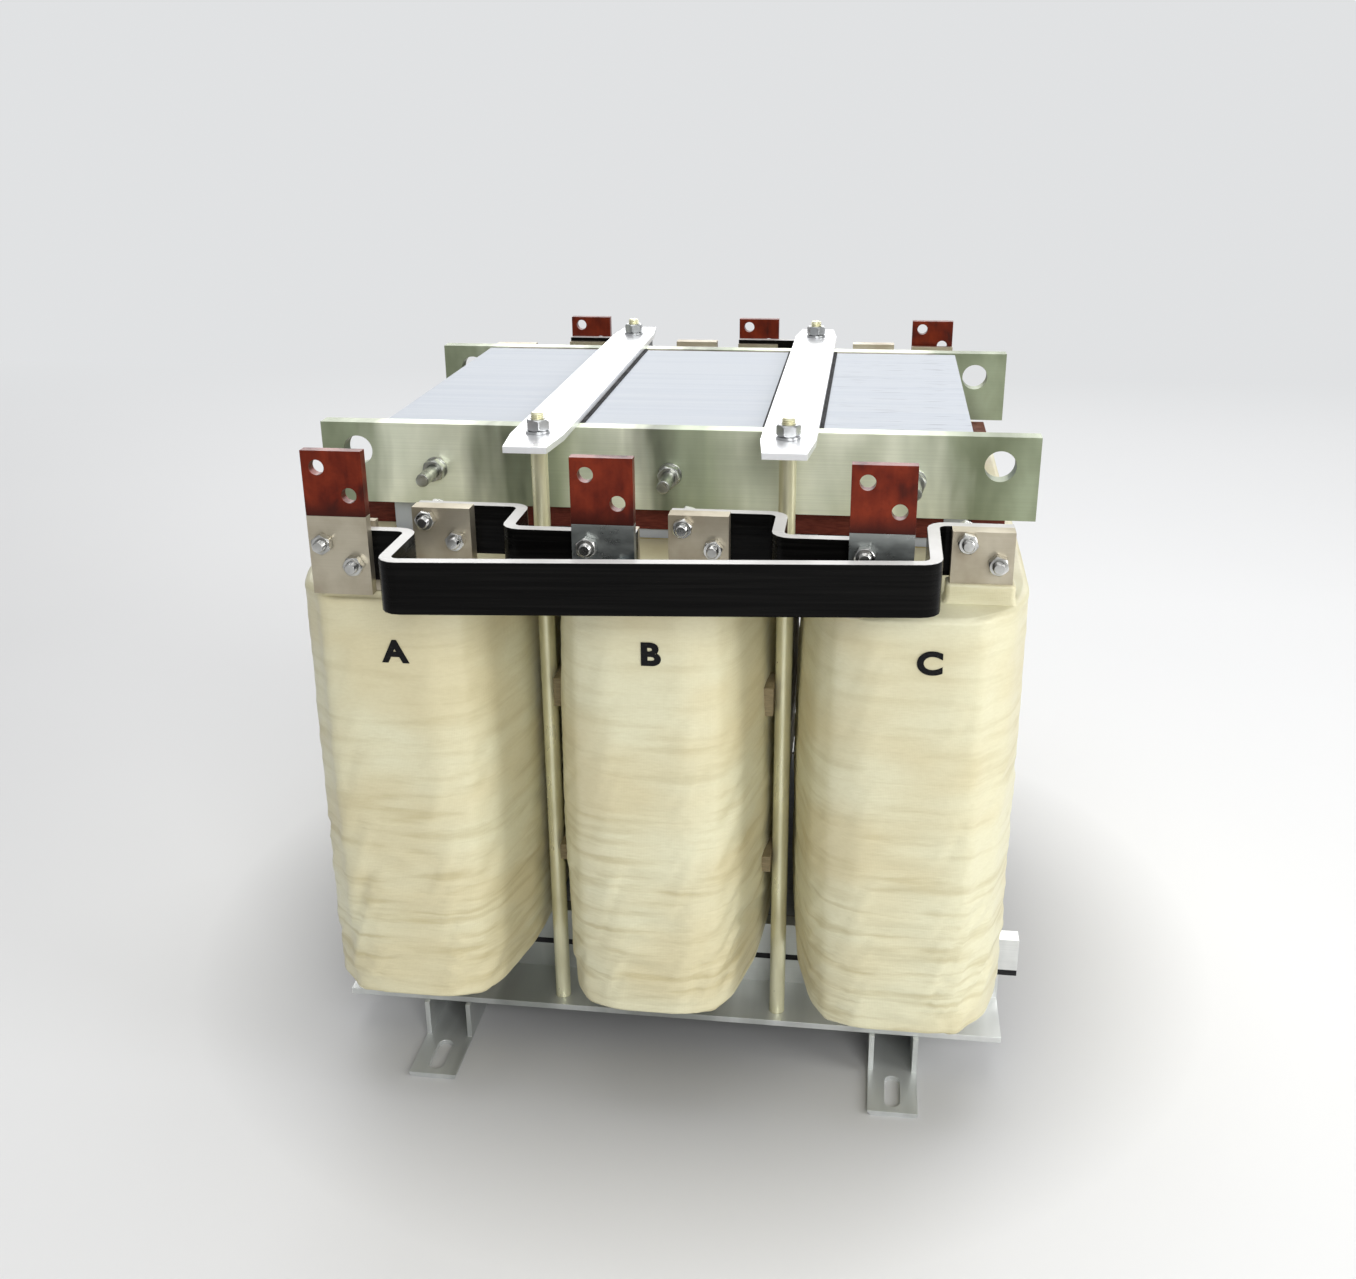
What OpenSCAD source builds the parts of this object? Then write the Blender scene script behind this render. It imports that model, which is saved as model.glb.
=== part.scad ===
// Three-phase dry-type iron-core reactor for a capacitor bank.
// Frame: X along the yokes, Y from front (-Y) to back, Z up. Origin on the floor, at the middle of the core.
// The rear terminals, leads and links are the front ones turned half a turn about Z.

/* [Core] */
// Distance between the centres of neighbouring limbs
limb_pitch = 174; // [170:1:190]
// Width of a limb
limb_w = 80; // [70:1:84]
// Depth of the laminated stack, front to back
stack_d = 300; // [270:2:330]
// Height of each yoke
yoke_h = 56; // [50:1:58]
// Height of the window between the yokes
window_h = 350; // [300:1:400]
// Core blocks in each limb
block_count = 4; // [2:1:6]
// Thickness of an air-gap spacer
gap_t = 4; // [2:0.5:6]
// How far a spacer stays inside the limb's edges
gap_inset = 2; // [0:0.5:4]

/* [Coils] */
// Height of a coil over its tape
coil_h = 317; // [270:1:330]
// Thickness of the board between the bottom yoke and a coil
coil_board_t = 4; // [3:0.5:8]
// Clearance between a limb and its former
former_gap = 1; // [0.5:0.1:1]
// Wall of the former
former_t = 3; // [2:0.5:4]
// Size of the former's cut corner
former_corner = 10; // [6:1:14]
// Build of the winding beside the limb
side_build = 29; // [24:1:30]
// Extra build on the free side of the outer coils
outer_build = 3; // [0:0.5:4]
// Build of the winding in front of and behind the limb, with its cooling ducts
nose_build = 143; // [120:1:150]
// Layer packs in each winding
pack_count = 4; // [2:1:5]
// Clearance between layer packs
pack_gap = 0.3; // [0.2:0.1:0.6]
// Thickness of the outer tape
tape_t = 3; // [2:0.5:4]
// Width of a duct stick
stick_w = 8; // [5:1:10]
// Distance between the duct sticks
stick_pitch = 20; // [14:1:22]
// Height of the tape sleeve on a lead's root
root_h = 13; // [6:1:13]
// Wall of the tape sleeve on a lead's root
root_t = 2.5; // [1:0.5:4]

/* [Coil blocks] */
// Length of a block above the coil, front to back
block_l = 40; // [20:1:60]
// Distance from the core's middle to a block's centre, front to back
block_y = 112; // [90:1:116]
// Width of the blocks and boards beside a limb
block_w = 24; // [16:1:26]
// Height of the upper spacers between the middle coil and the tie rods
spacer_h = 22; // [10:1:30]
// Height of the lower spacers
low_spacer_h = 13; // [8:1:30]
// Length of a spacer, front to back
spacer_l = 30; // [15:1:34]
// Height of the upper spacers' centre over the floor
spacer_z = 315; // [260:1:340]
// Height of the lower spacers' centre over the floor
low_spacer_z = 181; // [125:1:210]

/* [Clamps] */
// Half of the upper clamp bars' length
clamp_half = 260; // [255:1:290]
// Height of an upper clamp bar
clamp_h = 60; // [56:1:70]
// Thickness of every clamp bar
clamp_t = 14; // [10:1:18]
// How far the upper clamps stand above the top yoke
clamp_rise = 1; // [0.5:0.5:3]
// Radius of a lifting hole
lift_r = 11; // [8:0.5:13]
// Distance of a lifting hole's centre from the core's middle
lift_x = 233; // [230:1:240]
// Distance of a lifting hole's centre below the clamp's top edge
lift_drop = 21; // [18:1:24]
// Thickness of the insulating boards between clamp and core
board_t = 2; // [1:0.5:4]
// Half of the front and rear insulating boards' length
board_half = 197; // [190:1:210]
// How far the upper boards hang below the top yoke
board_drop = 22; // [10:1:25]
// Half of the lower clamp bars' length
low_clamp_half = 276; // [265:1:290]
// Height of a lower clamp bar
low_clamp_h = 28; // [26:1:30]

/* [Rails and feet] */
// Height of a foot channel
foot_h = 35; // [30:1:45]
// Width of a foot channel
foot_w = 38; // [30:1:50]
// Sheet thickness of a foot channel
foot_t = 4; // [3:0.5:6]
// Distance of a foot's centre from the core's middle
foot_x = 180; // [160:1:185]
// Half of a foot's length over its two tongues
foot_half = 271; // [268:1:290]
// Length of a foot's tongue past its side walls
tongue_l = 49; // [45:1:52]
// Length of a foot's slot
slot_l = 36; // [20:1:38]
// Width of a foot's slot
slot_w = 12; // [9:1:16]
// Thickness of a base rail
rail_t = 5; // [4:0.5:8]
// Half of a base rail's length
rail_half = 262; // [250:1:270]
// Distance from the core's middle to a base rail's outer edge
rail_y = 218; // [214:1:218]
// Height of the packer bar on a base rail
packer_h = 22; // [18:1:24]
// Thickness of the insulating strip on the packer bar
strip_t = 5; // [3:0.5:6]
// Thickness of the pads between the feet and the bottom yoke
pad_t = 3; // [2:0.5:4]
// How far a pad stands out past the foot's width
pad_margin = 6; // [2:1:10]

/* [Straps and tie rods] */
// Width of a cross strap
strap_w = 38; // [32:1:44]
// Thickness of a cross strap
strap_t = 4.5; // [4:0.5:8]
// Half of a cross strap's length
strap_half = 245; // [235:1:250]
// How much a strap draws in on each side at its ends
strap_clip = 4; // [2:0.5:6]
// Length of the stretch over which a strap draws in
strap_taper = 38; // [20:1:45]
// How far the insulation shows on each side of a strap
strap_margin = 3; // [1:0.5:6]
// Diameter of a tie rod
rod_d = 12; // [10:1:14]
// Diameter of a tie rod's thread
rod_thread_d = 10; // [8:1:10]
// Distance of a tie rod from the core's middle, front to back
rod_y = 203; // [198:1:204]
// How far a rod's end stands out of its nut
rod_end = 4.5; // [2:0.5:8]

/* [Yoke bolts] */
// Diameter of a yoke bolt
bolt_d = 10; // [8:1:12]
// Height of the upper yoke bolts above the lower edge of their clamps
bolt_rise = 27; // [26:1:34]
// How far an upper yoke bolt's end stands out of its nut
bolt_end = 26; // [4:1:34]
// Wall of the insulating sleeve on a yoke bolt
sleeve_t = 2; // [1:0.5:3]

/* [Terminals] */
// Width of the terminals and lead bars
bar_w = 40; // [34:1:42]
// Thickness of a tall terminal
term_t = 8; // [6:0.5:10]
// Height of a tall terminal's top over the floor
term_top = 517; // [505:1:530]
// Height of the weld between copper and aluminium over the floor
weld_z = 474; // [470:1:480]
// Height of a tall terminal's lower end over the floor
term_z = 421; // [419:1:426]
// Offset of a tall terminal from its coil's middle
term_x = 22; // [20:1:28]
// Offset of a short lead from its coil's middle
lead_x = 33; // [26:1:34]
// Extra offset of the short lead that takes the long link
long_lead_shift = 10; // [6:1:12]
// How much lower that lead ends
long_lead_drop = 5; // [4:1:10]
// Height of a short lead's top over the floor
lead_top = 468; // [467:1:480]
// Thickness of a short lead
lead_t = 12; // [8:1:14]
// Distance from the core's middle to a short lead's outer face
lead_y = 267; // [264:1:272]
// Thickness of the bar from the outer pack to a tall terminal
riser_t = 6; // [4:0.5:6.5]
// Radius of the customer's holes in the copper
palm_hole_r = 5; // [4:0.5:6]
// Sideways distance between the two holes of a joint
hole_dx = 20; // [16:1:22]
// Height between the two holes of a joint
hole_dz = 14; // [12:1:18]
// Height between the two holes in the copper
palm_dz = 18; // [14:1:20]
// Depth of the middle of the copper's holes below its top
palm_drop = 20; // [18:1:22]

/* [Rear terminals] */
// Height of a rear tall terminal's top over the floor
rear_top = 505; // [504:1:530]
// Depth of the middle of the rear copper's holes below its top
rear_palm_drop = 16; // [15:0.5:16]
// Height between the two holes in the rear copper
rear_palm_dz = 16; // [14:1:17]
// Offset of a rear tall terminal from its coil's middle
rear_term_x = 25; // [20:1:27]
// Height of a rear short lead's top over the floor
rear_lead_top = 490; // [482:1:491]
// Height of the rear short links' lower edge over the floor
rear_link_z = 448; // [440:1:450]
// Height of the joint's middle above a rear short link's lower edge
rear_joint_rise = 14; // [13:1:16]

/* [Links] */
// Height of a link bar
link_h = 34; // [32:1:38]
// Thickness of a link bar
link_t = 8; // [5:0.5:8]
// Height of the short links' lower edge over the floor
link_z = 433; // [431:1:435]
// Height of the long link's lower edge over the floor
long_link_z = 429; // [427:1:431]
// Height of the joint's middle above a link's lower edge
joint_rise = 20; // [18:1:22]
// Radius of a link's bends, at the bar's middle
link_bend = 9; // [8:0.5:11]
// Distance from the middle of the coil to the step of a short link
step_x = 87; // [84:1:90]
// Distance from the middle of the core to the long link's left corner, sideways
long_left_x = 154; // [150:1:158]
// Distance from the middle of the core to the long link's left corner, front to back
long_left_y = 368; // [350:1:380]
// Distance from the middle of the core to the long link's right corner, sideways
long_right_x = 189; // [186:1:189]
// Distance from the middle of the core to the long link's right corner, front to back
long_right_y = 336; // [330:1:350]

/* [Terminal fasteners] */
// Diameter of a terminal bolt
stud_d = 8; // [6:1:8]
// How far a terminal bolt's end stands out of its nut
stud_end = 3; // [1:0.5:5]

/* [Hidden] */

// Levels over the floor
yoke_z = foot_h + pad_t;
window_z = yoke_z + yoke_h;
coil_z = window_z + coil_board_t;
coil_top = coil_z + coil_h;
top_yoke_z = window_z + window_h;
core_top = top_yoke_z + yoke_h;
clamp_top = core_top + clamp_rise;
clamp_z = clamp_top - clamp_h;
rail_top = foot_h + rail_t;
strip_z = rail_top + packer_h;
low_clamp_z = strip_z + strip_t;
low_clamp_top = low_clamp_z + low_clamp_h;
strap_top = clamp_top + strap_t;

// The core and its clamps
yoke_half = limb_pitch + limb_w / 2;
core_half_d = stack_d / 2;
clamp_in = core_half_d + board_t;
clamp_out = clamp_in + clamp_t;
block_h = (window_h - (block_count + 1) * gap_t) / block_count;
rod_x = limb_pitch / 2;
limb_xs = [-limb_pitch, 0, limb_pitch];
signs = [-1, 1];
hole_gap = 0.75;
fit_gap = 0.15;
cut = 1;
round_fn = 48;
big_fn = 64;

// The winding's outline: shares of its half width, and of its build in front of the limb.
// Beside another coil it draws in early, and on the free side of an outer coil it stays full.
inner_shares = [[0.425, 0], [0.74, 0.147], [0.918, 0.524], [1, 1.05]];
outer_shares = [[0.5, 0], [0.83, 0.15], [0.985, 0.42], [1, 1.05]];
// The former's cut corner, in shares of the corner's size
corner_shares = [[1, 0], [0.3, 0.3], [0, 1], [0, 2]];
// The corner radii of the tape's outline, in shares of the winding's build beside the limb
radius_shares = [0.9, 1, 3, 3];
former_x = limb_w / 2 + former_gap + former_t;
former_y = core_half_d + former_gap + former_t;
wind_x = former_x + side_build;
wind_y = former_y + nose_build;
wind_z = coil_z + tape_t;
wind_top = coil_top - tape_t;
wind_h = wind_top - wind_z;
arc_steps = 4;

// Fasteners, in shares of the thread's diameter
nut_share = 1.5;
nut_h_share = 0.8;
washer_share = 1.75;
washer_t_share = 0.2;

// Joints of the front terminals
riser_out = wind_y;
riser_in = riser_out - riser_t;
term_in = riser_out + link_t;
term_out = term_in + term_t;
lead_in = lead_y - lead_t;
lead_link_in = lead_in - link_t;
link_zs = [link_z, rear_link_z];
joint_zs = [link_z + joint_rise, rear_link_z + rear_joint_rise];
long_joint_z = long_link_z + joint_rise;
outer_link_y = riser_out + link_t / 2;
inner_link_y = lead_in - link_t / 2;
// Joints of the tall terminals and of the short leads: sideways place, front face, back face, height of the middle.
// The side k is 0 at the front, and 1 at the rear, where the same set stands turned.
function tall_joint(i, k) = [limb_xs[i] - (k == 0 ? term_x : rear_term_x), term_out, riser_in,
    i == 0 ? long_joint_z : joint_zs[k]];
function short_joint(i, k) = [limb_xs[i] + lead_x + (i == 2 ? long_lead_shift : 0), lead_y, lead_link_in,
    i == 2 ? long_joint_z : joint_zs[k]];

// Plane geometry
function unit(v) = v / norm(v);
function left_of(v) = [-v[1], v[0]];
function turn_of(a, b) = a[0] * b[1] - a[1] * b[0] > 0 ? 1 : -1;

// An arc between two straight stretches that meet at p, at a distance from the arc of radius r
function corner_arc(before, p, after, r, side = 0) =
    let (a = unit(p - before), b = unit(after - p), turn = turn_of(a, b), half = acos(min(1, a * b)) / 2,
        start = p - a * r * tan(half), centre = start + turn * r * left_of(a),
        from = start - centre, reach = r - turn * side, angle = atan2(from[1], from[0]))
    [for (k = [0:arc_steps]) let (w = angle + turn * 2 * half * k / arc_steps) centre + reach * [cos(w), sin(w)]];

// A closed outline with each corner rounded
function rounded(points, radii) = let (n = len(points))
    [for (i = [0:n - 1]) each corner_arc(points[(i + n - 1) % n], points[i], points[(i + 1) % n], radii[i])];

// A closed convex outline, drawn anticlockwise, moved inwards by d
function inset(points, d) = let (n = len(points))
    [for (i = [0:n - 1]) let (a = left_of(unit(points[i] - points[(i + n - 1) % n])),
        b = left_of(unit(points[(i + 1) % n] - points[i]))) points[i] + d * (a + b) / (1 + a * b)];

// One long side of a flat bar bent along a path, and the bar's whole outline
function bent_side(path, t, r, side) = let (n = len(path))
    [path[0] + side * t / 2 * left_of(unit(path[1] - path[0])),
        for (i = [1:n - 2]) each corner_arc(path[i - 1], path[i], path[i + 1], r, side * t / 2),
        path[n - 1] + side * t / 2 * left_of(unit(path[n - 1] - path[n - 2]))];
function bent_bar(path, t, r) = let (back = bent_side(path, t, r, -1))
    concat(bent_side(path, t, r, 1), [for (i = [len(back) - 1:-1:0]) back[i]]);

// A whole outline from the front quarters of its right and left side, both drawn to the right, anticlockwise
function turned(v) = [for (i = [len(v) - 1:-1:0]) v[i]];
function all_round(right, left) = concat(right, [for (p = turned(right)) [p[0], -p[1]]],
    [for (p = left) [-p[0], -p[1]]], [for (p = turned(left)) [-p[0], p[1]]]);
function wind_quarter(outer) = [for (s = outer ? outer_shares : inner_shares)
    [s[0] * (wind_x + (outer ? outer_build : 0)), s[1] * nose_build - wind_y]];
function former_quarter() = [for (s = corner_shares)
    [former_x - s[0] * former_corner, s[1] * former_corner - former_y]];
function pack_quarter(share, outer) = let (a = former_quarter(), b = wind_quarter(outer))
    [for (i = [0:len(a) - 1]) a[i] * (1 - share) + b[i] * share];
function pack_outline(share, i) = all_round(pack_quarter(share, i == 2), pack_quarter(share, i == 0));
function tape_radii() = let (r = radius_shares * side_build) concat(r, turned(r), r, turned(r));
function tape_outline(d, i) = rounded(inset(pack_outline(1, i), d), [for (r = tape_radii()) r - d]);

module rear() {
    rotate([0, 0, 180]) children();
}
module at_limbs(which = [0, 1, 2]) {
    for (i = which) translate([limb_xs[i], 0, 0]) children();
}
// A box given by its lowest and highest corners
module box(low, high) {
    translate(low) cube(high - low);
}
// A round bar or hole along Y, from y0 to y1
module along_y(x, y0, y1, z, r, fn = round_fn) {
    translate([x, y1, z]) rotate([90, 0, 0]) cylinder(r = r, h = y1 - y0, $fn = fn);
}
module nut(d) {
    difference() {
        cylinder(r = nut_share * d / 2 / cos(30), h = nut_h_share * d, $fn = 6);
        translate([0, 0, -cut]) cylinder(r = d / 2 + fit_gap, h = nut_h_share * d + 2 * cut, $fn = round_fn);
    }
}
module washer(d) {
    difference() {
        cylinder(r = washer_share * d / 2, h = washer_t_share * d, $fn = round_fn);
        translate([0, 0, -cut]) cylinder(r = d / 2 + fit_gap, h = washer_t_share * d + 2 * cut, $fn = round_fn);
    }
}
// Turned so that what stands along +Z lies along -Y, with its foot at the given point
module facing_front(x, y, z) {
    translate([x, y, z]) rotate([90, 0, 0]) children();
}
// Two holes on a falling diagonal, through everything from y0 to y1
module joint_holes(x, z, dz, r, y0, y1) {
    for (s = signs) along_y(x + s * hole_dx / 2, y0 - cut, y1 + cut, z - s * dz / 2, r);
}

// Core
module yoke(z) {
    color([0.74, 0.76, 0.82]) difference() {
        box([-yoke_half, -core_half_d, z], [yoke_half, core_half_d, z + yoke_h]);
        at_limbs() along_y(0, -core_half_d - cut, core_half_d + cut, bolt_level(z), sleeve_r() + fit_gap);
    }
}
function sleeve_r() = bolt_d / 2 + fit_gap + sleeve_t;
function bolt_level(z) = z == yoke_z ? low_clamp_z + low_clamp_h / 2 : clamp_z + bolt_rise;
module top_yoke() { yoke(top_yoke_z); }
module bottom_yoke() { yoke(yoke_z); }
module limb(i) {
    color([0.62, 0.64, 0.68]) at_limbs([i]) for (k = [0:block_count - 1])
        translate([-limb_w / 2, -core_half_d, window_z + gap_t + k * (block_h + gap_t)])
            cube([limb_w, stack_d, block_h]);
}
module air_gap_spacers() {
    color([0.8, 0.76, 0.55]) at_limbs() for (k = [0:block_count])
        translate([gap_inset - limb_w / 2, gap_inset - core_half_d, window_z + k * (block_h + gap_t)])
            cube([limb_w - 2 * gap_inset, stack_d - 2 * gap_inset, gap_t]);
}

// Coils
module winding(i) {
    color([0.78, 0.79, 0.8]) at_limbs([i]) for (k = [1:pack_count])
        translate([0, 0, wind_z]) linear_extrude(height = wind_h) difference() {
            polygon(k == pack_count ? tape_outline(0, i) : pack_outline(k / pack_count, i));
            polygon(inset(pack_outline(k / pack_count, i), pack_t()));
        }
}
function pack_t() = side_build / pack_count - pack_gap;
module coil_formers() {
    color([0.72, 0.62, 0.38]) at_limbs() translate([0, 0, coil_z]) linear_extrude(height = coil_h) difference() {
        polygon(pack_outline(0, 0));
        square([2 * (former_x - former_t), 2 * (former_y - former_t)], center = true);
    }
}
module duct_sticks() {
    step = nose_build / pack_count;
    color([0.7, 0.6, 0.36]) at_limbs() for (side = signs, k = [0:pack_count - 1], j = [-1:1])
        translate([j * stick_pitch - stick_w / 2, side * (former_y + (k + 0.5) * step - pack_t() / 2) - stick_l() / 2, wind_z])
            cube([stick_w, stick_l(), wind_h]);
}
function stick_l() = nose_build / pack_count - pack_t();
module tape_fold(z, i) {
    translate([0, 0, z]) linear_extrude(height = tape_t) difference() {
        polygon(tape_outline(-tape_t, i));
        polygon(inset(pack_outline(0, i), -fit_gap));
    }
}
// The hole that a lead bar leaves in the tape, from y0 to y1, in the front half
module lead_hole(x, y0, y1) {
    box([x - bar_w / 2 - fit_gap, -y1 - fit_gap, wind_top - cut], [x + bar_w / 2 + fit_gap, -y0 + fit_gap, clamp_top]);
}
module lead_sleeve(x, y0, y1) {
    box([x - bar_w / 2 - root_t, -y1 - root_t, coil_top], [x + bar_w / 2 + root_t, -y0 + root_t, coil_top + root_h]);
}
module lead_holes(i, k) {
    lead_hole(short_joint(i, k)[0], lead_in, lead_y);
    lead_hole(tall_joint(i, k)[0], riser_in, riser_out);
}
module wrap(i) {
    color([0.87, 0.83, 0.66]) difference() {
        union() {
            at_limbs([i]) {
                translate([0, 0, coil_z]) linear_extrude(height = coil_h) difference() {
                    polygon(tape_outline(-tape_t, i));
                    polygon(tape_outline(0, i));
                }
                tape_fold(coil_z, i);
                tape_fold(coil_top - tape_t, i);
            }
            lead_sleeve(short_joint(i, 0)[0], lead_in, lead_y);
            rear() lead_sleeve(short_joint(2 - i, 1)[0], lead_in, lead_y);
        }
        lead_holes(i, 0);
        rear() lead_holes(2 - i, 1);
    }
}
module top_coil_blocks() {
    color([0.36, 0.1, 0.07]) at_limbs() for (sx = signs, sy = signs)
        translate([sx * (former_x + block_w / 2 + fit_gap) - block_w / 2, sy * block_y - block_l / 2, coil_top])
            cube([block_w, block_l, top_yoke_z - coil_top]);
}
module bottom_coil_boards() {
    color([0.36, 0.1, 0.07]) at_limbs() for (sx = signs)
        translate([sx * (former_x + block_w / 2 + fit_gap) - block_w / 2, board_t - core_half_d, window_z])
            cube([block_w, stack_d - 2 * board_t, coil_board_t]);
}
// A spacer fills the gap between the middle coil and each tie rod
module coil_spacer(z, h) {
    difference() {
        for (sx = signs, sy = signs) translate([sx * (rod_x - rod_d / 2 - fit_gap - block_w / 2) - block_w / 2,
            sy * rod_y - spacer_l / 2, z - h / 2]) cube([block_w, spacer_l, h]);
        translate([0, 0, z - h]) linear_extrude(height = 2 * h) polygon(tape_outline(-tape_t, 1));
    }
}
module coil_spacers() {
    color([0.86, 0.82, 0.66]) {
        coil_spacer(spacer_z, spacer_h);
        coil_spacer(low_spacer_z, low_spacer_h);
    }
}

// Clamps and insulation
module upper_clamp() {
    color([0.72, 0.76, 0.66]) difference() {
        box([-clamp_half, -clamp_out, clamp_z], [clamp_half, -clamp_in, clamp_top]);
        for (s = signs) along_y(s * lift_x, -clamp_out - cut, -clamp_in + cut, clamp_top - lift_drop, lift_r, big_fn);
        bolt_holes(bolt_level(top_yoke_z));
    }
}
module bolt_holes(z) {
    at_limbs() along_y(0, -clamp_out - cut, -core_half_d + cut, z, bolt_d / 2 + hole_gap);
}
module upper_clamp_front() { upper_clamp(); }
module upper_clamp_rear() { rear() upper_clamp(); }
module lower_clamp() {
    color([0.8, 0.82, 0.84]) difference() {
        box([-low_clamp_half, -clamp_out, low_clamp_z], [low_clamp_half, -clamp_in, low_clamp_top]);
        bolt_holes(bolt_level(yoke_z));
    }
}
module lower_clamp_front() { lower_clamp(); }
module lower_clamp_rear() { rear() lower_clamp(); }
module clamp_boards() {
    difference() {
        box([-board_half, -clamp_in, top_yoke_z - board_drop], [board_half, -core_half_d, core_top]);
        bolt_holes(bolt_level(top_yoke_z));
    }
    difference() {
        box([-board_half, -clamp_in, low_clamp_z], [board_half, -core_half_d, window_z]);
        bolt_holes(bolt_level(yoke_z));
    }
}
module clamp_insulation() {
    color([0.34, 0.08, 0.06]) {
        clamp_boards();
        rear() clamp_boards();
    }
}
module base_rail() {
    color([0.7, 0.72, 0.74]) difference() {
        union() {
            box([-rail_half, -rail_y, foot_h], [rail_half, -clamp_in, rail_top]);
            box([-rail_half, -clamp_out, rail_top], [rail_half, -clamp_in, strip_z]);
        }
        for (s = signs) translate([s * rod_x, -rod_y, foot_h - cut])
            cylinder(r = rod_d / 2 + fit_gap, h = rail_t + 2 * cut, $fn = round_fn);
    }
}
module base_rail_front() { base_rail(); }
module base_rail_rear() { rear() base_rail(); }
module rail_strip() {
    box([-low_clamp_half, -clamp_out, strip_z], [low_clamp_half, -clamp_in, low_clamp_z]);
}
module rail_strips() {
    color([0.08, 0.08, 0.09]) {
        rail_strip();
        rear() rail_strip();
    }
}
module yoke_pads() {
    color([0.1, 0.1, 0.11]) for (s = signs) translate([s * foot_x - foot_w / 2 - pad_margin, -core_half_d, foot_h])
        cube([foot_w + 2 * pad_margin, stack_d, pad_t]);
}

// Straps, tie rods and yoke bolts
module strap(x) {
    hw = strap_w / 2;
    end = [[hw - strap_clip, -strap_half], [hw, strap_taper - strap_half]];
    color([0.92, 0.93, 0.95]) translate([x, 0, clamp_top]) linear_extrude(height = strap_t) difference() {
        polygon(all_round(end, end));
        for (s = signs) translate([0, s * rod_y]) circle(r = rod_d / 2 + hole_gap, $fn = round_fn);
    }
}
module strap_left() { strap(-rod_x); }
module strap_right() { strap(rod_x); }
module strap_insulation() {
    hw = strap_w / 2 + strap_margin;
    color([0.1, 0.1, 0.12]) for (s = signs)
        box([s * rod_x - hw, -core_half_d, core_top], [s * rod_x + hw, core_half_d, clamp_top]);
}
rod_high = strap_top + (washer_t_share + nut_h_share) * rod_thread_d + rod_end;
module at_rods() {
    for (sx = signs, sy = signs) translate([sx * rod_x, sy * rod_y, 0]) children();
}
module tie_rods() {
    color([0.82, 0.82, 0.62]) at_rods() union() {
        translate([0, 0, foot_h]) cylinder(r = rod_d / 2, h = strap_top - foot_h, $fn = round_fn);
        translate([0, 0, foot_h]) cylinder(r = rod_thread_d / 2, h = rod_high - foot_h, $fn = round_fn);
    }
}
module tie_rod_nuts() {
    color([0.66, 0.68, 0.7]) at_rods() translate([0, 0, strap_top + washer_t_share * rod_thread_d]) nut(rod_thread_d);
}
module tie_rod_washers() {
    color([0.74, 0.75, 0.77]) at_rods() translate([0, 0, strap_top]) washer(rod_thread_d);
}
bolt_reach = clamp_out + washer_t_share * bolt_d + nut_h_share * bolt_d;
bolt_zs = [bolt_level(yoke_z), bolt_level(top_yoke_z)];
module yoke_bolts() {
    color([0.62, 0.64, 0.66]) at_limbs() for (z = bolt_zs) {
        tail = z == bolt_zs[0] ? rod_end : bolt_end;
        along_y(0, -bolt_reach - tail, bolt_reach + tail, z, bolt_d / 2);
    }
}
module yoke_bolt_nuts() {
    color([0.66, 0.68, 0.7]) at_limbs() for (z = bolt_zs) both_ends(clamp_out + washer_t_share * bolt_d, z) nut(bolt_d);
}
module yoke_bolt_washers() {
    color([0.74, 0.75, 0.77]) at_limbs() for (z = bolt_zs) both_ends(clamp_out, z) washer(bolt_d);
}
module both_ends(y, z) {
    facing_front(0, -y, z) children();
    rear() facing_front(0, -y, z) children();
}
module yoke_bolt_sleeves() {
    color([0.5, 0.3, 0.14]) at_limbs() for (z = bolt_zs) difference() {
        along_y(0, -core_half_d, core_half_d, z, sleeve_r());
        along_y(0, -core_half_d - cut, core_half_d + cut, z, bolt_d / 2 + fit_gap);
    }
}

// Feet
wall_half = foot_half - tongue_l;
slot_y = foot_half - tongue_l / 2;
module foot(x) {
    straight = (slot_l - slot_w) / 2;
    color([0.68, 0.7, 0.72]) translate([x, 0, 0]) difference() {
        box([-foot_w / 2, -foot_half, 0], [foot_w / 2, foot_half, foot_h]);
        box([foot_t - foot_w / 2, -foot_half - cut, foot_t], [foot_w / 2 - foot_t, foot_half + cut, foot_h + cut]);
        for (s = signs) {
            box([-foot_w, s > 0 ? wall_half : -foot_half - cut, foot_t],
                [foot_w, s > 0 ? foot_half + cut : -wall_half, foot_h + cut]);
            translate([0, s * slot_y, -cut]) {
                for (e = signs) translate([0, e * straight, 0])
                    cylinder(r = slot_w / 2, h = foot_t + 2 * cut, $fn = round_fn);
                box([-slot_w / 2, -straight, 0], [slot_w / 2, straight, foot_t + 2 * cut]);
            }
        }
    }
}
module foot_left() { foot(-foot_x); }
module foot_right() { foot(foot_x); }

// Terminals and leads: side 1 is the rear, where the set stands turned
module on_side(k) {
    rotate([0, 0, k * 180]) children();
}
module terminal_copper(i, k) {
    x = tall_joint(i, k)[0];
    top = k == 0 ? term_top : rear_top;
    color([0.36, 0.1, 0.05]) on_side(k) difference() {
        box([x - bar_w / 2, -term_out, weld_z], [x + bar_w / 2, -term_in, top]);
        joint_holes(x, top - (k == 0 ? palm_drop : rear_palm_drop), k == 0 ? palm_dz : -rear_palm_dz,
            palm_hole_r, -term_out, -term_in);
    }
}
module terminal_alum(i, k) {
    j = tall_joint(i, k);
    color([0.66, 0.66, 0.64]) on_side(k) difference() {
        box([j[0] - bar_w / 2, -term_out, term_z], [j[0] + bar_w / 2, -term_in, weld_z]);
        stud_holes(j);
    }
}
module stud_holes(j) {
    joint_holes(j[0], j[3], hole_dz, stud_d / 2 + fit_gap, -term_out, -lead_link_in);
}
module outer_leads() {
    color([0.7, 0.7, 0.7]) for (k = [0, 1], i = [0, 1, 2]) on_side(k) riser(tall_joint(i, k), link_zs[k] + link_h);
}
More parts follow.
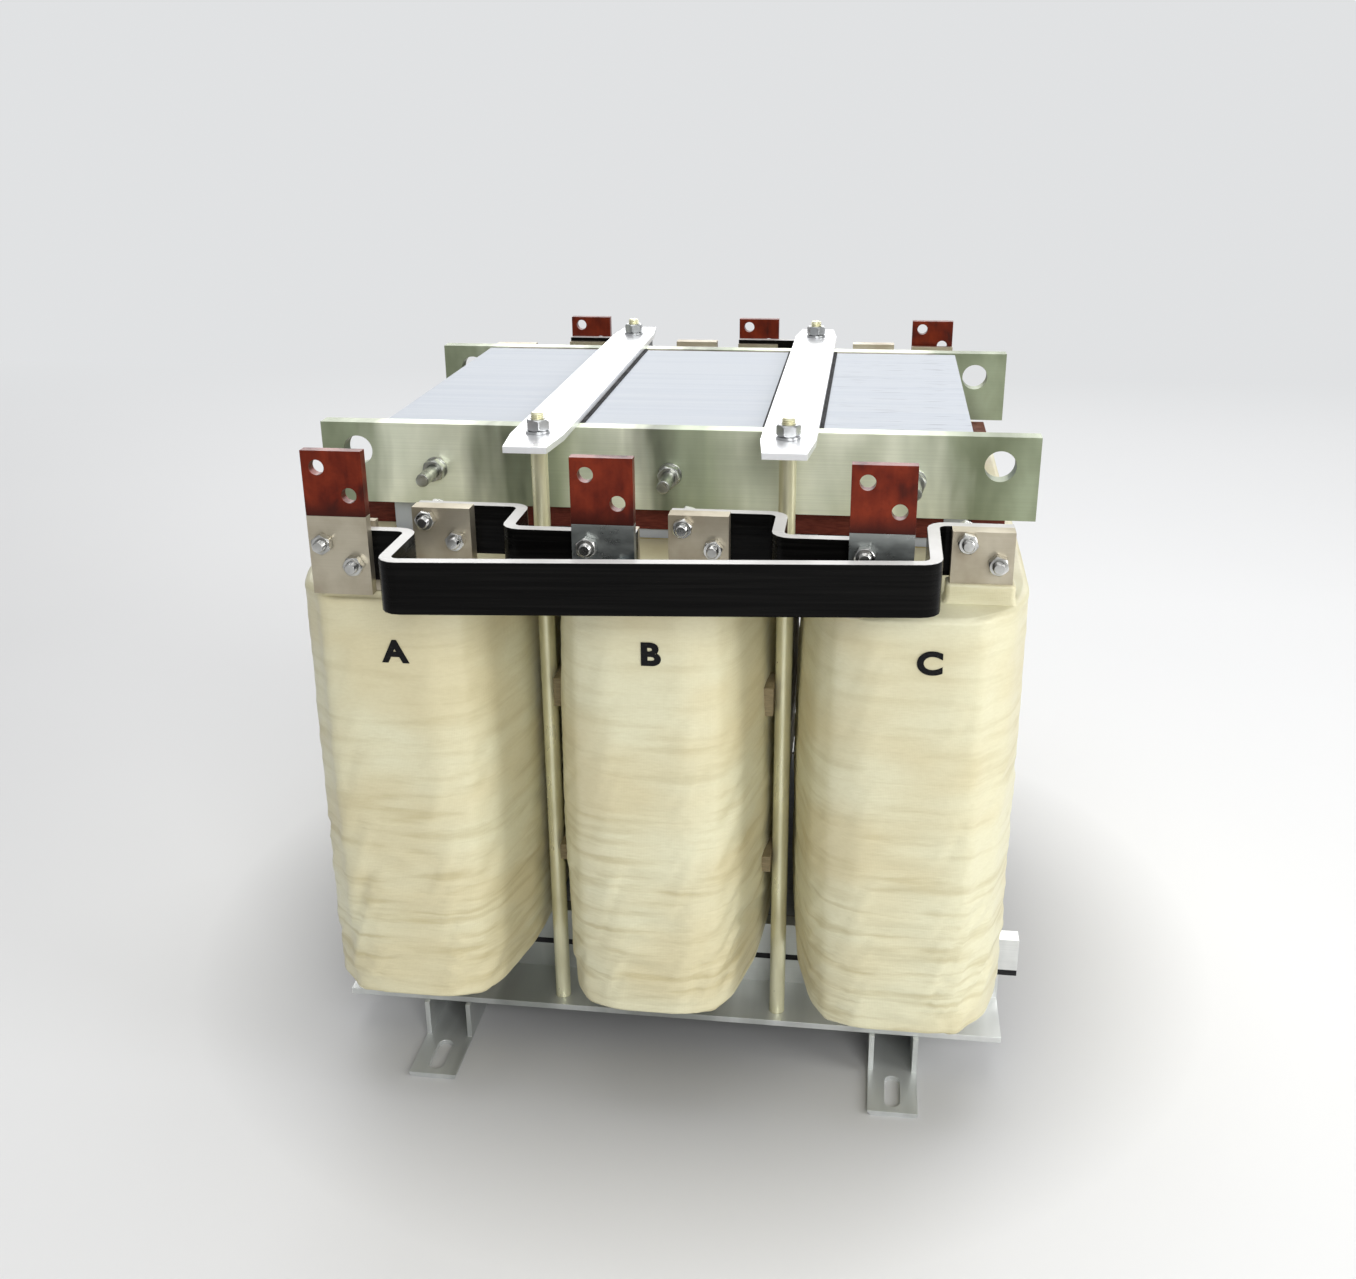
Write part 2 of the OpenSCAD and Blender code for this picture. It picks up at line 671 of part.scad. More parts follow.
module riser(j, top) {
    difference() {
        box([j[0] - bar_w / 2, -riser_out, wind_top], [j[0] + bar_w / 2, -riser_in, top]);
        stud_holes(j);
    }
}
module inner_leads() {
    color([0.68, 0.66, 0.62]) for (k = [0, 1], i = [0, 1, 2]) on_side(k)
        short_lead(short_joint(i, k), (k == 0 ? lead_top : rear_lead_top) - (i == 2 ? long_lead_drop : 0));
}
module short_lead(j, top) {
    difference() {
        box([j[0] - bar_w / 2, -lead_y, wind_top], [j[0] + bar_w / 2, -lead_in, top]);
        stud_holes(j);
    }
}

// Links
module link_bar(path, z, from, to) {
    color([0.03, 0.03, 0.03]) difference() {
        translate([0, 0, z]) linear_extrude(height = link_h) polygon(bent_bar(path, link_t, link_bend));
        stud_holes(from);
        stud_holes(to);
    }
}
module short_link(i, k) {
    from = short_joint(i, k);
    to = tall_joint(i + 1, k);
    x = limb_xs[i] + step_x;
    on_side(k) link_bar([[from[0] - bar_w / 2, -inner_link_y], [x, -inner_link_y], [x, -outer_link_y],
        [to[0] + bar_w / 2, -outer_link_y]], link_zs[k], from, to);
}
module long_link(k) {
    from = tall_joint(0, k);
    to = short_joint(2, k);
    half = link_t / 2;
    on_side(k) link_bar([[from[0] - bar_w / 2, -outer_link_y], [half - long_left_x, -outer_link_y],
        [half - long_left_x, half - long_left_y], [long_right_x - half, half - long_right_y],
        [long_right_x - half, -inner_link_y], [to[0] + bar_w / 2, -inner_link_y]], long_link_z, from, to);
}

// Terminal bolts with their heads at the back, with nuts and washers
module at_studs() {
    for (k = [0, 1], i = [0, 1, 2], j = [tall_joint(i, k), short_joint(i, k)], s = signs)
        on_side(k) translate([j[0] + s * hole_dx / 2, 0, j[3] - s * hole_dz / 2]) {
            $front = j[1];
            $back = j[2];
            children();
        }
}
stud_washer_t = washer_t_share * stud_d;
module terminal_bolts() {
    color([0.72, 0.73, 0.74]) at_studs() {
        along_y(0, -$front - stud_washer_t - nut_h_share * stud_d - stud_end, fit_gap - $back + stud_washer_t,
            0, stud_d / 2);
        facing_front(0, -$back + stud_washer_t + nut_h_share * stud_d, 0)
            cylinder(r = nut_share * stud_d / 2 / cos(30), h = nut_h_share * stud_d, $fn = 6);
    }
}
module terminal_nuts() {
    color([0.78, 0.78, 0.77]) at_studs() {
        facing_front(0, -$front - stud_washer_t, 0) nut(stud_d);
        facing_front(0, -$front, 0) washer(stud_d);
        facing_front(0, -$back + stud_washer_t, 0) washer(stud_d);
    }
}

top_yoke();
bottom_yoke();
limb(0);  // limb_a
limb(1);  // limb_b
limb(2);  // limb_c
air_gap_spacers();
winding(0);  // coil_a_winding
winding(1);  // coil_b_winding
winding(2);  // coil_c_winding
wrap(0);  // coil_a_wrap
wrap(1);  // coil_b_wrap
wrap(2);  // coil_c_wrap
coil_formers();
duct_sticks();
top_coil_blocks();
bottom_coil_boards();
coil_spacers();
upper_clamp_front();
upper_clamp_rear();
lower_clamp_front();
lower_clamp_rear();
base_rail_front();
base_rail_rear();
clamp_insulation();
rail_strips();
yoke_pads();
strap_left();
strap_right();
strap_insulation();
tie_rods();
tie_rod_nuts();
tie_rod_washers();
yoke_bolts();
yoke_bolt_nuts();
yoke_bolt_washers();
yoke_bolt_sleeves();
foot_left();
foot_right();
terminal_copper(0, 0);  // terminal_copper_a_front
terminal_copper(1, 0);  // terminal_copper_b_front
terminal_copper(2, 0);  // terminal_copper_c_front
terminal_copper(2, 1);  // terminal_copper_a_rear
terminal_copper(1, 1);  // terminal_copper_b_rear
terminal_copper(0, 1);  // terminal_copper_c_rear
terminal_alum(0, 0);  // terminal_alum_a_front
terminal_alum(1, 0);  // terminal_alum_b_front
terminal_alum(2, 0);  // terminal_alum_c_front
terminal_alum(2, 1);  // terminal_alum_a_rear
terminal_alum(1, 1);  // terminal_alum_b_rear
terminal_alum(0, 1);  // terminal_alum_c_rear
outer_leads();
inner_leads();
short_link(0, 0);  // link_ab_front
short_link(1, 0);  // link_bc_front
long_link(0);  // link_ca_front
short_link(1, 1);  // link_ab_rear
short_link(0, 1);  // link_bc_rear
long_link(1);  // link_ca_rear
terminal_bolts();
terminal_nuts();
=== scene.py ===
"""Looks of a three-phase dry-type iron-core reactor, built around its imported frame. All lengths are in metres."""

import logging
import math
from collections.abc import Callable, Iterator
from contextlib import contextmanager
from dataclasses import dataclass, field
from enum import Enum

import bpy
from mathutils import Matrix, Vector, noise


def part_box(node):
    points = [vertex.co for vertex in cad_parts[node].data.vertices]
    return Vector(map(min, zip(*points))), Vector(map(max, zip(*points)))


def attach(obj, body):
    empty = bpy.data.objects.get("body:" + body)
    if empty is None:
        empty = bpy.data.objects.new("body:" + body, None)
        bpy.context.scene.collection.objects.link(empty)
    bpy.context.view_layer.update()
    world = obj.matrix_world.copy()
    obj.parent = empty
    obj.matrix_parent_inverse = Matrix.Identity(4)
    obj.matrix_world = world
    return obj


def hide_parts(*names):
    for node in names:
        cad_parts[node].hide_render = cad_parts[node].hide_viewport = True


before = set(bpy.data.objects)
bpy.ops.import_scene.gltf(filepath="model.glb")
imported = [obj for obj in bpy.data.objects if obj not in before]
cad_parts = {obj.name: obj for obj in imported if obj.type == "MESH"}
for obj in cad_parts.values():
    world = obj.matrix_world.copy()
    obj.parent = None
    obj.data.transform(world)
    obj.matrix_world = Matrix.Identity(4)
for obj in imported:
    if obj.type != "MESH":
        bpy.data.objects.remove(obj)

LOG = logging.getLogger("reactor")
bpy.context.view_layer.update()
ROOT = "root"
# From the middle of one coil to the next
COIL_PITCH = 0.174
# Pitch of the M10 threads on rods and yoke bolts, and bore of their nuts and washers
M10_PITCH = 0.0015
M10_BORE = 0.0102

# Scale of a wave texture at which one rib is one unit wide
ONE_RIB = 0.3142

Colour = tuple[float, float, float]
Triple = tuple[float, float, float]
Point = tuple[float, float]


class Phase(Enum):
    """The three phases, by the order of their coils along X."""

    A = -1
    B = 0
    C = 1


class End(Enum):
    """The two long sides of the reactor, by the sign of Y."""

    FRONT = -1
    REAR = 1


class Slot(Enum):
    """The record's material slots."""

    CORE = "core_steel"
    BOARD = "glass_board"
    WINDING = "winding_aluminium"
    TAPE = "cotton_tape"
    RED = "red_board"
    ZINC = "zinc_plate"
    BLACK = "black_insulation"
    STRAP = "bright_strap"
    ROD = "yellow_zinc"
    FASTENER = "fastener_steel"
    COPPER = "copper_bar"
    LEAD = "lead_aluminium"
    LINK = "black_link"


class Painter:
    """Lays the nodes of one material on Object coordinates."""

    def __init__(self, name: str) -> None:
        """Starts a material with one principled shader.

        Args:
            name: Name of the material.
        """
        self.material = bpy.data.materials.new(name)
        self.material.use_nodes = True
        self.tree = self.material.node_tree
        self.shader = self.tree.nodes["Principled BSDF"]
        self.place = self.tree.nodes.new("ShaderNodeTexCoord").outputs["Object"]

    def link(self, source: bpy.types.NodeSocket, target: bpy.types.NodeSocket) -> None:
        """Joins two sockets."""
        self.tree.links.new(source, target)

    def set(self, **values: float | Colour) -> None:
        """Sets constants on the shader's own sockets.

        Args:
            values: Value for each socket, with underscores for the spaces in its name.
        """
        for name, value in values.items():
            socket = self.shader.inputs[name.replace("_", " ")]
            socket.default_value = (*value, 1.0) if isinstance(value, tuple) else value

    def warped(self, size: Triple, turn: Triple = (0.0, 0.0, 0.0)) -> bpy.types.NodeSocket:
        """Object coordinates counted in features of the given size.

        Args:
            size: Length of a feature along each axis, in metres.
            turn: Turn of the pattern about each axis, in degrees.

        Returns:
            The vector socket.
        """
        node = self.tree.nodes.new("ShaderNodeMapping")
        node.vector_type = "TEXTURE"
        node.inputs["Scale"].default_value = size
        node.inputs["Rotation"].default_value = tuple(math.radians(a) for a in turn)
        self.link(self.place, node.inputs["Vector"])
        return node.outputs["Vector"]

    def cloud(self, size: Triple, detail: float = 3.0, turn: Triple = (0.0, 0.0, 0.0), seed: float = 0.0,
              warp: float = 0.0) -> bpy.types.NodeSocket:
        """Soft noise with features of the given size.

        Args:
            size: Length of a feature along each axis, in metres.
            detail: Octaves of finer noise.
            turn: Turn of the pattern about each axis, in degrees.
            seed: Picks another part of the same noise.
            warp: How much the noise bends itself.

        Returns:
            The value socket, from 0 to 1.
        """
        node = self.tree.nodes.new("ShaderNodeTexNoise")
        node.noise_dimensions = "4D"
        node.inputs["W"].default_value = seed
        node.inputs["Scale"].default_value = 1.0
        node.inputs["Detail"].default_value = detail
        node.inputs["Distortion"].default_value = warp
        self.link(self.warped(size, turn), node.inputs["Vector"])
        return node.outputs["Fac"]

    def cells(self, size: Triple) -> bpy.types.NodeSocket:
        """Distance to the middles of scattered cells, for grit and specks.

        Args:
            size: Size of a cell along each axis, in metres.

        Returns:
            The value socket.
        """
        node = self.tree.nodes.new("ShaderNodeTexVoronoi")
        node.inputs["Scale"].default_value = 1.0
        self.link(self.warped(size), node.inputs["Vector"])
        return node.outputs["Distance"]

    def ribs(self, size: float, axis: str = "Z", warp: float = 0.0) -> bpy.types.NodeSocket:
        """Parallel ribs of the given pitch, across one axis.

        Args:
            size: Pitch of the ribs, in metres.
            axis: The axis that crosses the ribs.
            warp: How much the ribs wander.

        Returns:
            The value socket, from 0 to 1.
        """
        node = self.tree.nodes.new("ShaderNodeTexWave")
        node.bands_direction = axis
        node.inputs["Scale"].default_value = ONE_RIB
        node.inputs["Distortion"].default_value = warp
        node.inputs["Detail"].default_value = 1.0
        self.link(self.warped((size, size, size)), node.inputs["Vector"])
        return node.outputs["Fac"]

    def along(self, axis: str, start: float, end: float) -> bpy.types.NodeSocket:
        """A value that rises from 0 to 1 along one axis, between two places.

        Args:
            axis: X, Y or Z.
            start: Where the value is 0, in metres.
            end: Where the value is 1, in metres.

        Returns:
            The value socket.
        """
        split = self.tree.nodes.new("ShaderNodeSeparateXYZ")
        self.link(self.place, split.inputs["Vector"])
        node = self.tree.nodes.new("ShaderNodeMapRange")
        node.inputs["From Min"].default_value = start
        node.inputs["From Max"].default_value = end
        self.link(split.outputs[axis], node.inputs["Value"])
        return node.outputs["Result"]

    def facing_up(self) -> bpy.types.NodeSocket:
        """How far the surface faces upwards, 1 where it lies level.

        Returns:
            The value socket.
        """
        split = self.tree.nodes.new("ShaderNodeSeparateXYZ")
        self.link(self.tree.nodes.new("ShaderNodeNewGeometry").outputs["Normal"], split.inputs["Vector"])
        return split.outputs["Z"]

    def sum(self, first: bpy.types.NodeSocket, second: bpy.types.NodeSocket, share: float) -> bpy.types.NodeSocket:
        """One value plus a share of another.

        Args:
            first: The value that is taken whole.
            second: The value that is added to it.
            share: Share of the second value.

        Returns:
            The value socket.
        """
        node = self.tree.nodes.new("ShaderNodeMath")
        node.operation = "MULTIPLY_ADD"
        node.inputs[1].default_value = share
        self.link(second, node.inputs[0])
        self.link(first, node.inputs[2])
        return node.outputs["Value"]

    def times(self, first: bpy.types.NodeSocket, second: bpy.types.NodeSocket) -> bpy.types.NodeSocket:
        """The product of two values.

        Args:
            first: One value socket.
            second: The other value socket.

        Returns:
            The value socket.
        """
        node = self.tree.nodes.new("ShaderNodeMath")
        node.operation = "MULTIPLY"
        self.link(first, node.inputs[0])
        self.link(second, node.inputs[1])
        return node.outputs["Value"]

    def scale(self, value: bpy.types.NodeSocket, low: float, high: float, start: float = 0.3,
              end: float = 0.7) -> bpy.types.NodeSocket:
        """A value brought from one range into another.

        Args:
            value: The value socket.
            low: Result at the range's start.
            high: Result at the range's end.
            start: Start of the value's range.
            end: End of the value's range.

        Returns:
            The value socket.
        """
        node = self.tree.nodes.new("ShaderNodeMapRange")
        for name, number in (("From Min", start), ("From Max", end), ("To Min", low), ("To Max", high)):
            node.inputs[name].default_value = number
        self.link(value, node.inputs["Value"])
        return node.outputs["Result"]

    def shades(self, value: bpy.types.NodeSocket, *stops: tuple[float, Colour]) -> bpy.types.NodeSocket:
        """Colours picked by a value.

        Args:
            value: The value socket.
            stops: Place and colour of each stop, in rising order.

        Returns:
            The colour socket.
        """
        node = self.tree.nodes.new("ShaderNodeValToRGB")
        ramp = node.color_ramp
        while len(ramp.elements) < len(stops):
            ramp.elements.new(0.5)
        for element, (place, colour) in zip(ramp.elements, stops):
            element.position = place
            element.color = (*colour, 1.0)
        self.link(value, node.inputs["Fac"])
        return node.outputs["Color"]

    def blend(self, share: bpy.types.NodeSocket, first: bpy.types.NodeSocket, second: bpy.types.NodeSocket | Colour,
              mode: str = "MIX") -> bpy.types.NodeSocket:
        """Mixes two colours.

        Args:
            share: Share of the second colour.
            first: The first colour socket.
            second: The second colour, a socket or plain.
            mode: Blend mode.

        Returns:
            The colour socket.
        """
        node = self.tree.nodes.new("ShaderNodeMix")
        node.data_type = "RGBA"
        node.blend_type = mode
        self.link(share, node.inputs[0])
        self.link(first, node.inputs[6])
        if isinstance(second, tuple):
            node.inputs[7].default_value = (*second, 1.0)
        else:
            self.link(second, node.inputs[7])
        return node.outputs[2]

    def paint(self, colour: bpy.types.NodeSocket) -> None:
        """Gives the surface its colour."""
        self.link(colour, self.shader.inputs["Base Color"])

    def rough(self, value: bpy.types.NodeSocket) -> None:
        """Gives the surface its roughness."""
        self.link(value, self.shader.inputs["Roughness"])

    def relief(self, *layers: tuple[bpy.types.NodeSocket, float]) -> None:
        """Gives the surface its fine relief.

        Args:
            layers: Height socket and depth in metres of each layer.
        """
        under = None
        for height, depth in layers:
            node = self.tree.nodes.new("ShaderNodeBump")
            node.inputs["Distance"].default_value = depth
            self.link(height, node.inputs["Height"])
            if under is not None:
                self.link(under, node.inputs["Normal"])
            under = node.outputs["Normal"]
        self.link(under, self.shader.inputs["Normal"])


@dataclass(frozen=True)
class TapeFinish:
    """Varnished cotton tape, wound in overlapping turns that crease, with painted shade in the creases that deepens
    towards the foot.
    """

    pale: Colour = (0.70, 0.675, 0.475)
    warm: Colour = (0.645, 0.585, 0.375)
    # Deep colour of the fine specks and of the painted crease shade
    deep: Colour = (0.40, 0.33, 0.15)
    roughness: float = 0.42
    crease: float = 0.0011

    def material(self, name: str) -> bpy.types.Material:
        """The finish as a material.

        Args:
            name: Name of the material.

        Returns:
            The material.
        """
        p = Painter(name)
        p.set(Specular_IOR_Level=0.45, Coat_Weight=0.12, Coat_Roughness=0.3)
        broad = p.cloud((0.09, 0.09, 0.05), 2, seed=3)
        folds = p.cloud((0.075, 0.075, 0.008), 3, seed=1, warp=0.35)
        slant = p.cloud((0.05, 0.04, 0.011), 2, (24, 0, 0), seed=7, warp=0.2)
        low = p.along("Z", 0.36, 0.16)
        tone = p.shades(broad, (0.36, self.warm), (0.62, self.pale))
        # Painted shade: the folds are darkened towards the deep colour, more so towards the foot
        painted_crease_shade = p.times(p.scale(folds, 0.45, 0.0, 0.34, 0.5), p.scale(low, 0.35, 1, 0, 1))
        tone = p.blend(painted_crease_shade, tone, self.deep)
        p.paint(p.blend(p.scale(p.cloud((0.004, 0.004, 0.0015), 3, seed=2), 0.0, 0.12), tone, self.deep))
        p.rough(p.scale(folds, self.roughness + 0.12, self.roughness - 0.08))
        weave = p.sum(p.ribs(0.0011, "Z", 0.4), p.ribs(0.0011, "X", 0.4), 0.6)
        p.relief((weave, 0.00004), (p.cloud((0.02, 0.02, 0.0022), 3, seed=5), 0.0003),
                 (slant, self.crease * 0.4), (p.times(folds, p.scale(low, 0.5, 1, 0, 1)), self.crease))
        return p.material


@dataclass(frozen=True)
class ZincFinish:
    """Zinc plate with a yellowish passivation tint, painted with cloudy upright bands of reflection that turn darker
    and greener towards the bar's ends.
    """

    # Colours of the painted reflection bands, and of the bar's ends as painted reflection
    pale: Colour = (0.95, 0.97, 0.80)
    green: Colour = (0.47, 0.53, 0.37)
    dark: Colour = (0.11, 0.12, 0.085)
    end: Colour = (0.15, 0.175, 0.10)
    half: float = 0.262
    roughness: float = 0.3
    metallic: float = 0.55

    def material(self, name: str) -> bpy.types.Material:
        """The finish as a material.

        Args:
            name: Name of the material.

        Returns:
            The material.
        """
        p = Painter(name)
        p.set(Metallic=self.metallic)
        # Painted reflection: pale, dark and green bands across the bar, with the end colour at both ends
        painted_reflection_bands = p.sum(p.along("X", -self.half, self.half), p.cloud((0.03, 0.3, 0.14), 3, seed=4), 0.18)
        tone = p.shades(painted_reflection_bands, (0.13, self.end), (0.20, self.pale), (0.30, self.pale), (0.36, self.dark),
                        (0.42, self.green), (0.50, self.pale), (0.56, self.dark), (0.64, self.green),
                        (0.72, self.pale), (0.90, self.pale), (0.98, self.end))
        # Painted reflection: soft green clouds over the bands; the same clouds set the roughness
        soft = p.cloud((0.03, 0.2, 0.06), 3, seed=9)
        tone = p.blend(p.scale(soft, 0.55, 0.0), tone, self.green)
        p.paint(p.blend(p.scale(p.cloud((0.12, 0.12, 0.0008), 2, seed=6), 0.0, 0.1), tone, self.dark))
        p.rough(p.scale(soft, self.roughness + 0.04, self.roughness + 0.16))
        return p.material


@dataclass(frozen=True)
class MetalFinish:
    """A bar, rod or fastener of one metal, with stains and drawing marks."""

    pale: Colour = (0.62, 0.63, 0.62)
    deep: Colour = (0.34, 0.35, 0.33)
    stain: Triple = (0.014, 0.014, 0.014)
    grain: Triple = (0.03, 0.03, 0.0005)
    roughness: float = 0.3
    metallic: float = 1.0

    def material(self, name: str) -> bpy.types.Material:
        """The finish as a material.

        Args:
            name: Name of the material.

        Returns:
            The material.
        """
        p = Painter(name)
        p.set(Metallic=self.metallic)
        stains = p.cloud(self.stain, 4, seed=2)
        drawn = p.cloud(self.grain, 2, seed=5)
        tone = p.shades(stains, (0.36, self.deep), (0.62, self.pale))
        p.paint(p.blend(p.scale(drawn, 0.0, 0.2), tone, self.deep))
        p.rough(p.scale(stains, self.roughness + 0.12, self.roughness - 0.06))
        p.relief((drawn, 0.00003), (p.cloud((0.02, 0.02, 0.02), 2, seed=3), 0.00015))
        return p.material


@dataclass(frozen=True)
class PaintedReflectionFinish:
    """Bar with a painted reflection of the dark bars below it: its tone falls off from one height to another."""

    top: Colour = (0.30, 0.32, 0.31)
    middle: Colour = (0.12, 0.14, 0.145)
    low: Colour = (0.035, 0.042, 0.045)
    top_z: float = 0.474
    low_z: float = 0.44
    roughness: float = 0.28

    def material(self, name: str) -> bpy.types.Material:
        """The finish as a material.

        Args:
            name: Name of the material.

        Returns:
            The material.
        """
        p = Painter(name)
        p.set(Metallic=0.85)
        # Painted reflection: the bar darkens towards its foot
        fall = p.along("Z", self.low_z, self.top_z)
        mixed = p.sum(fall, p.cloud((0.014, 0.014, 0.022), 2, seed=8, warp=0.2), 0.9)
        p.paint(p.shades(mixed, (0.3, self.low), (0.75, self.middle), (0.867, self.top)))
        p.rough(p.scale(p.cloud((0.01, 0.01, 0.006), 3), self.roughness - 0.06, self.roughness + 0.16))
        p.relief((p.cloud((0.03, 0.03, 0.0006), 2), 0.00003))
        return p.material


@dataclass(frozen=True)
class CopperFinish:
    """Copper bar gone dark red-brown in air, with a lighter heat-tinted middle."""

    bright: Colour = (0.20, 0.026, 0.009)
    brown: Colour = (0.115, 0.013, 0.005)
    dark: Colour = (0.045, 0.008, 0.005)
    weld_z: float = 0.474
    roughness: float = 0.33

    def material(self, name: str) -> bpy.types.Material:
        """The finish as a material.

        Args:
            name: Name of the material.

        Returns:
            The material.
        """
        p = Painter(name)
        p.set(Metallic=0.3, Specular_IOR_Level=0.2)
        clouds = p.sum(p.cloud((0.018, 0.018, 0.022), 4, seed=4, warp=0.4), p.cloud((0.004, 0.004, 0.03), 2), 0.25)
        tone = p.shades(clouds, (0.42, self.dark), (0.56, self.brown), (0.78, self.bright))
        tone = p.blend(p.along("Z", self.weld_z + 0.012, self.weld_z), tone, self.dark)
        p.paint(p.blend(p.scale(p.cloud((0.0025, 0.0025, 0.0025), 3, seed=6), 0.0, 0.25, 0.5, 0.75), tone, self.dark))
        p.rough(p.scale(clouds, self.roughness + 0.14, self.roughness - 0.04))
        p.relief((p.cloud((0.0006, 0.0006, 0.03), 2), 0.00003), (p.cloud((0.01, 0.01, 0.01), 2), 0.0001))
        return p.material


@dataclass(frozen=True)
class SleeveFinish:
    """Glossy black sleeve shrunk on a bar, with faint streaks along it and a painted highlight on its upper faces."""

    tone: Colour = (0.0022, 0.0021, 0.0020)
    grey: Colour = (0.006, 0.0057, 0.0053)
    # Pale grey of the painted highlight on upward faces
    painted_top_highlight: Colour = (0.66, 0.65, 0.63)
    roughness: float = 0.2

    def material(self, name: str) -> bpy.types.Material:
        """The finish as a material.

        Args:
            name: Name of the material.

        Returns:
            The material.
        """
        p = Painter(name)
        p.set(Specular_IOR_Level=0.06)
        streaks = p.cloud((0.12, 0.05, 0.0022), 3, seed=2)
        tone = p.shades(streaks, (0.42, self.tone), (0.72, self.grey))
        # Painted highlight: faces that point upwards turn pale grey
        p.paint(p.blend(p.scale(p.facing_up(), 0.0, 1.0, 0.45, 0.9), tone, self.painted_top_highlight))
        p.rough(p.scale(p.cloud((0.05, 0.02, 0.004), 3, seed=5), self.roughness - 0.06, self.roughness + 0.14))
        p.relief((streaks, 0.00012), (p.cloud((0.02, 0.02, 0.014), 2, seed=7), 0.0004))
        return p.material


@dataclass(frozen=True)
class CoreFinish:
    """Stacked sheets of core steel, whose edges run along X."""

    bright: Colour = (0.52, 0.55, 0.59)
    blue: Colour = (0.44, 0.475, 0.525)
    dark: Colour = (0.10, 0.11, 0.14)

    def material(self, name: str) -> bpy.types.Material:
        """The finish as a material.

        Args:
            name: Name of the material.

        Returns:
            The material.
        """
        p = Painter(name)
        p.set(Metallic=0.1, Specular_IOR_Level=0.3)
        sheets = p.cloud((0.5, 0.0011, 0.5), 2, seed=3)
        packs = p.cloud((0.35, 0.012, 0.35), 2, seed=5)
        tone = p.shades(p.sum(packs, sheets, 0.5), (0.55, self.blue), (0.85, self.bright))
        streaks = p.times(p.scale(p.cloud((0.035, 0.0035, 0.5), 2, seed=11), 0.0, 0.75, 0.60, 0.70),
                          p.along("X", 0.05, 0.21))
        p.paint(p.blend(streaks, tone, self.dark))
        p.rough(p.scale(packs, 0.5, 0.62))
        p.relief((sheets, 0.00012), (packs, 0.00012))
        return p.material


@dataclass(frozen=True)
class BoardFinish:
    """Pressed board, sheet or moulding of insulation, matt, with fibres and specks."""

    tone: Colour = (0.12, 0.03, 0.02)
    fibre: Colour = (0.19, 0.055, 0.035)
    roughness: float = 0.6

    def material(self, name: str) -> bpy.types.Material:
        """The finish as a material.

        Args:
            name: Name of the material.

        Returns:
            The material.
        """
        p = Painter(name)
        p.set(Specular_IOR_Level=0.2)
        fibres = p.cloud((0.008, 0.008, 0.0012), 4, seed=2, warp=0.4)
        p.paint(p.shades(fibres, (0.38, self.tone), (0.68, self.fibre)))
        p.rough(p.scale(fibres, self.roughness + 0.1, self.roughness - 0.08))
        p.relief((fibres, 0.00008), (p.cells((0.0012, 0.0012, 0.0012)), 0.00003))
        return p.material


@dataclass(frozen=True)
class InkFinish:
    """Black stencil ink that has sunk into the tape in places."""

    ink: Colour = (0.006, 0.006, 0.007)
    worn: Colour = (0.03, 0.028, 0.024)

    def material(self, name: str) -> bpy.types.Material:
        """The finish as a material.

        Args:
            name: Name of the material.

        Returns:
            The material.
        """
        p = Painter(name)
        p.set(Specular_IOR_Level=0.12)
        worn = p.cloud((0.0015, 0.0015, 0.0012), 3)
        p.paint(p.shades(worn, (0.55, self.ink), (0.8, self.worn)))
        p.rough(p.scale(worn, 0.45, 0.65))
        p.relief((worn, 0.00004))
        return p.material


@dataclass(frozen=True)
class StageFinish:
    """Plain pale paper with a painted shadow under the object, which glows evenly far behind it."""

    tone: Colour = (0.785, 0.785, 0.785)
    shade: Colour = (0.36, 0.36, 0.36)
    far: Colour = (0.75, 0.76, 0.77)
    shade_r: float = 0.46
    start: float = 0.9
    end: float = 2.6

    def material(self, name: str) -> bpy.types.Material:
        """The finish as a material.

        Args:
            name: Name of the material.

        Returns:
            The material.
        """
        p = Painter(name)
        p.set(Specular_IOR_Level=0.2, Roughness=0.6)
        duller = tuple(c * 0.98 for c in self.tone)
        plain = p.shades(p.cloud((0.6, 0.6, 0.6), 2), (0.2, self.tone), (0.8, duller))
        # Painted shadow: the paper darkens towards the shade colour round the object
        near = p.tree.nodes.new("ShaderNodeTexGradient")
        near.gradient_type = "SPHERICAL"
        p.link(p.warped((self.shade_r, self.shade_r, self.shade_r)), near.inputs["Vector"])
        p.paint(p.blend(p.scale(near.outputs["Fac"], 0.0, 1.0, 0.0, 0.6), plain, self.shade))
        glow = p.tree.nodes.new("ShaderNodeEmission")
        glow.inputs["Color"].default_value = (*self.far, 1.0)
        mix = p.tree.nodes.new("ShaderNodeMixShader")
        p.link(p.along("Y", self.start, self.end), mix.inputs["Fac"])
        p.link(p.shader.outputs["BSDF"], mix.inputs[1])
        p.link(glow.outputs["Emission"], mix.inputs[2])
        p.link(mix.outputs["Shader"], p.tree.nodes["Material Output"].inputs["Surface"])
        return p.material


def leave_alone() -> None:
    """Goes to object mode with nothing selected."""
    if bpy.context.object is not None and bpy.context.object.mode != "OBJECT":
        bpy.ops.object.mode_set(mode="OBJECT")
    bpy.ops.object.select_all(action="DESELECT")


def take(piece: bpy.types.Object) -> None:
    """Makes a piece the only one selected, and active."""
    leave_alone()
    piece.select_set(True)
    bpy.context.view_layer.objects.active = piece


@contextmanager
def at_work(piece: bpy.types.Object, mode: str = "VERT") -> Iterator[None]:
    """Edit mode on one piece, with nothing selected in it.

    Args:
        piece: The piece to shape.
        mode: VERT, EDGE or FACE.

    Yields:
        Nothing.
    """
    take(piece)
    bpy.ops.object.mode_set(mode="EDIT")
    bpy.ops.mesh.select_mode(type=mode)
    bpy.ops.mesh.select_all(action="DESELECT")
    yield
    bpy.ops.object.mode_set(mode="OBJECT")


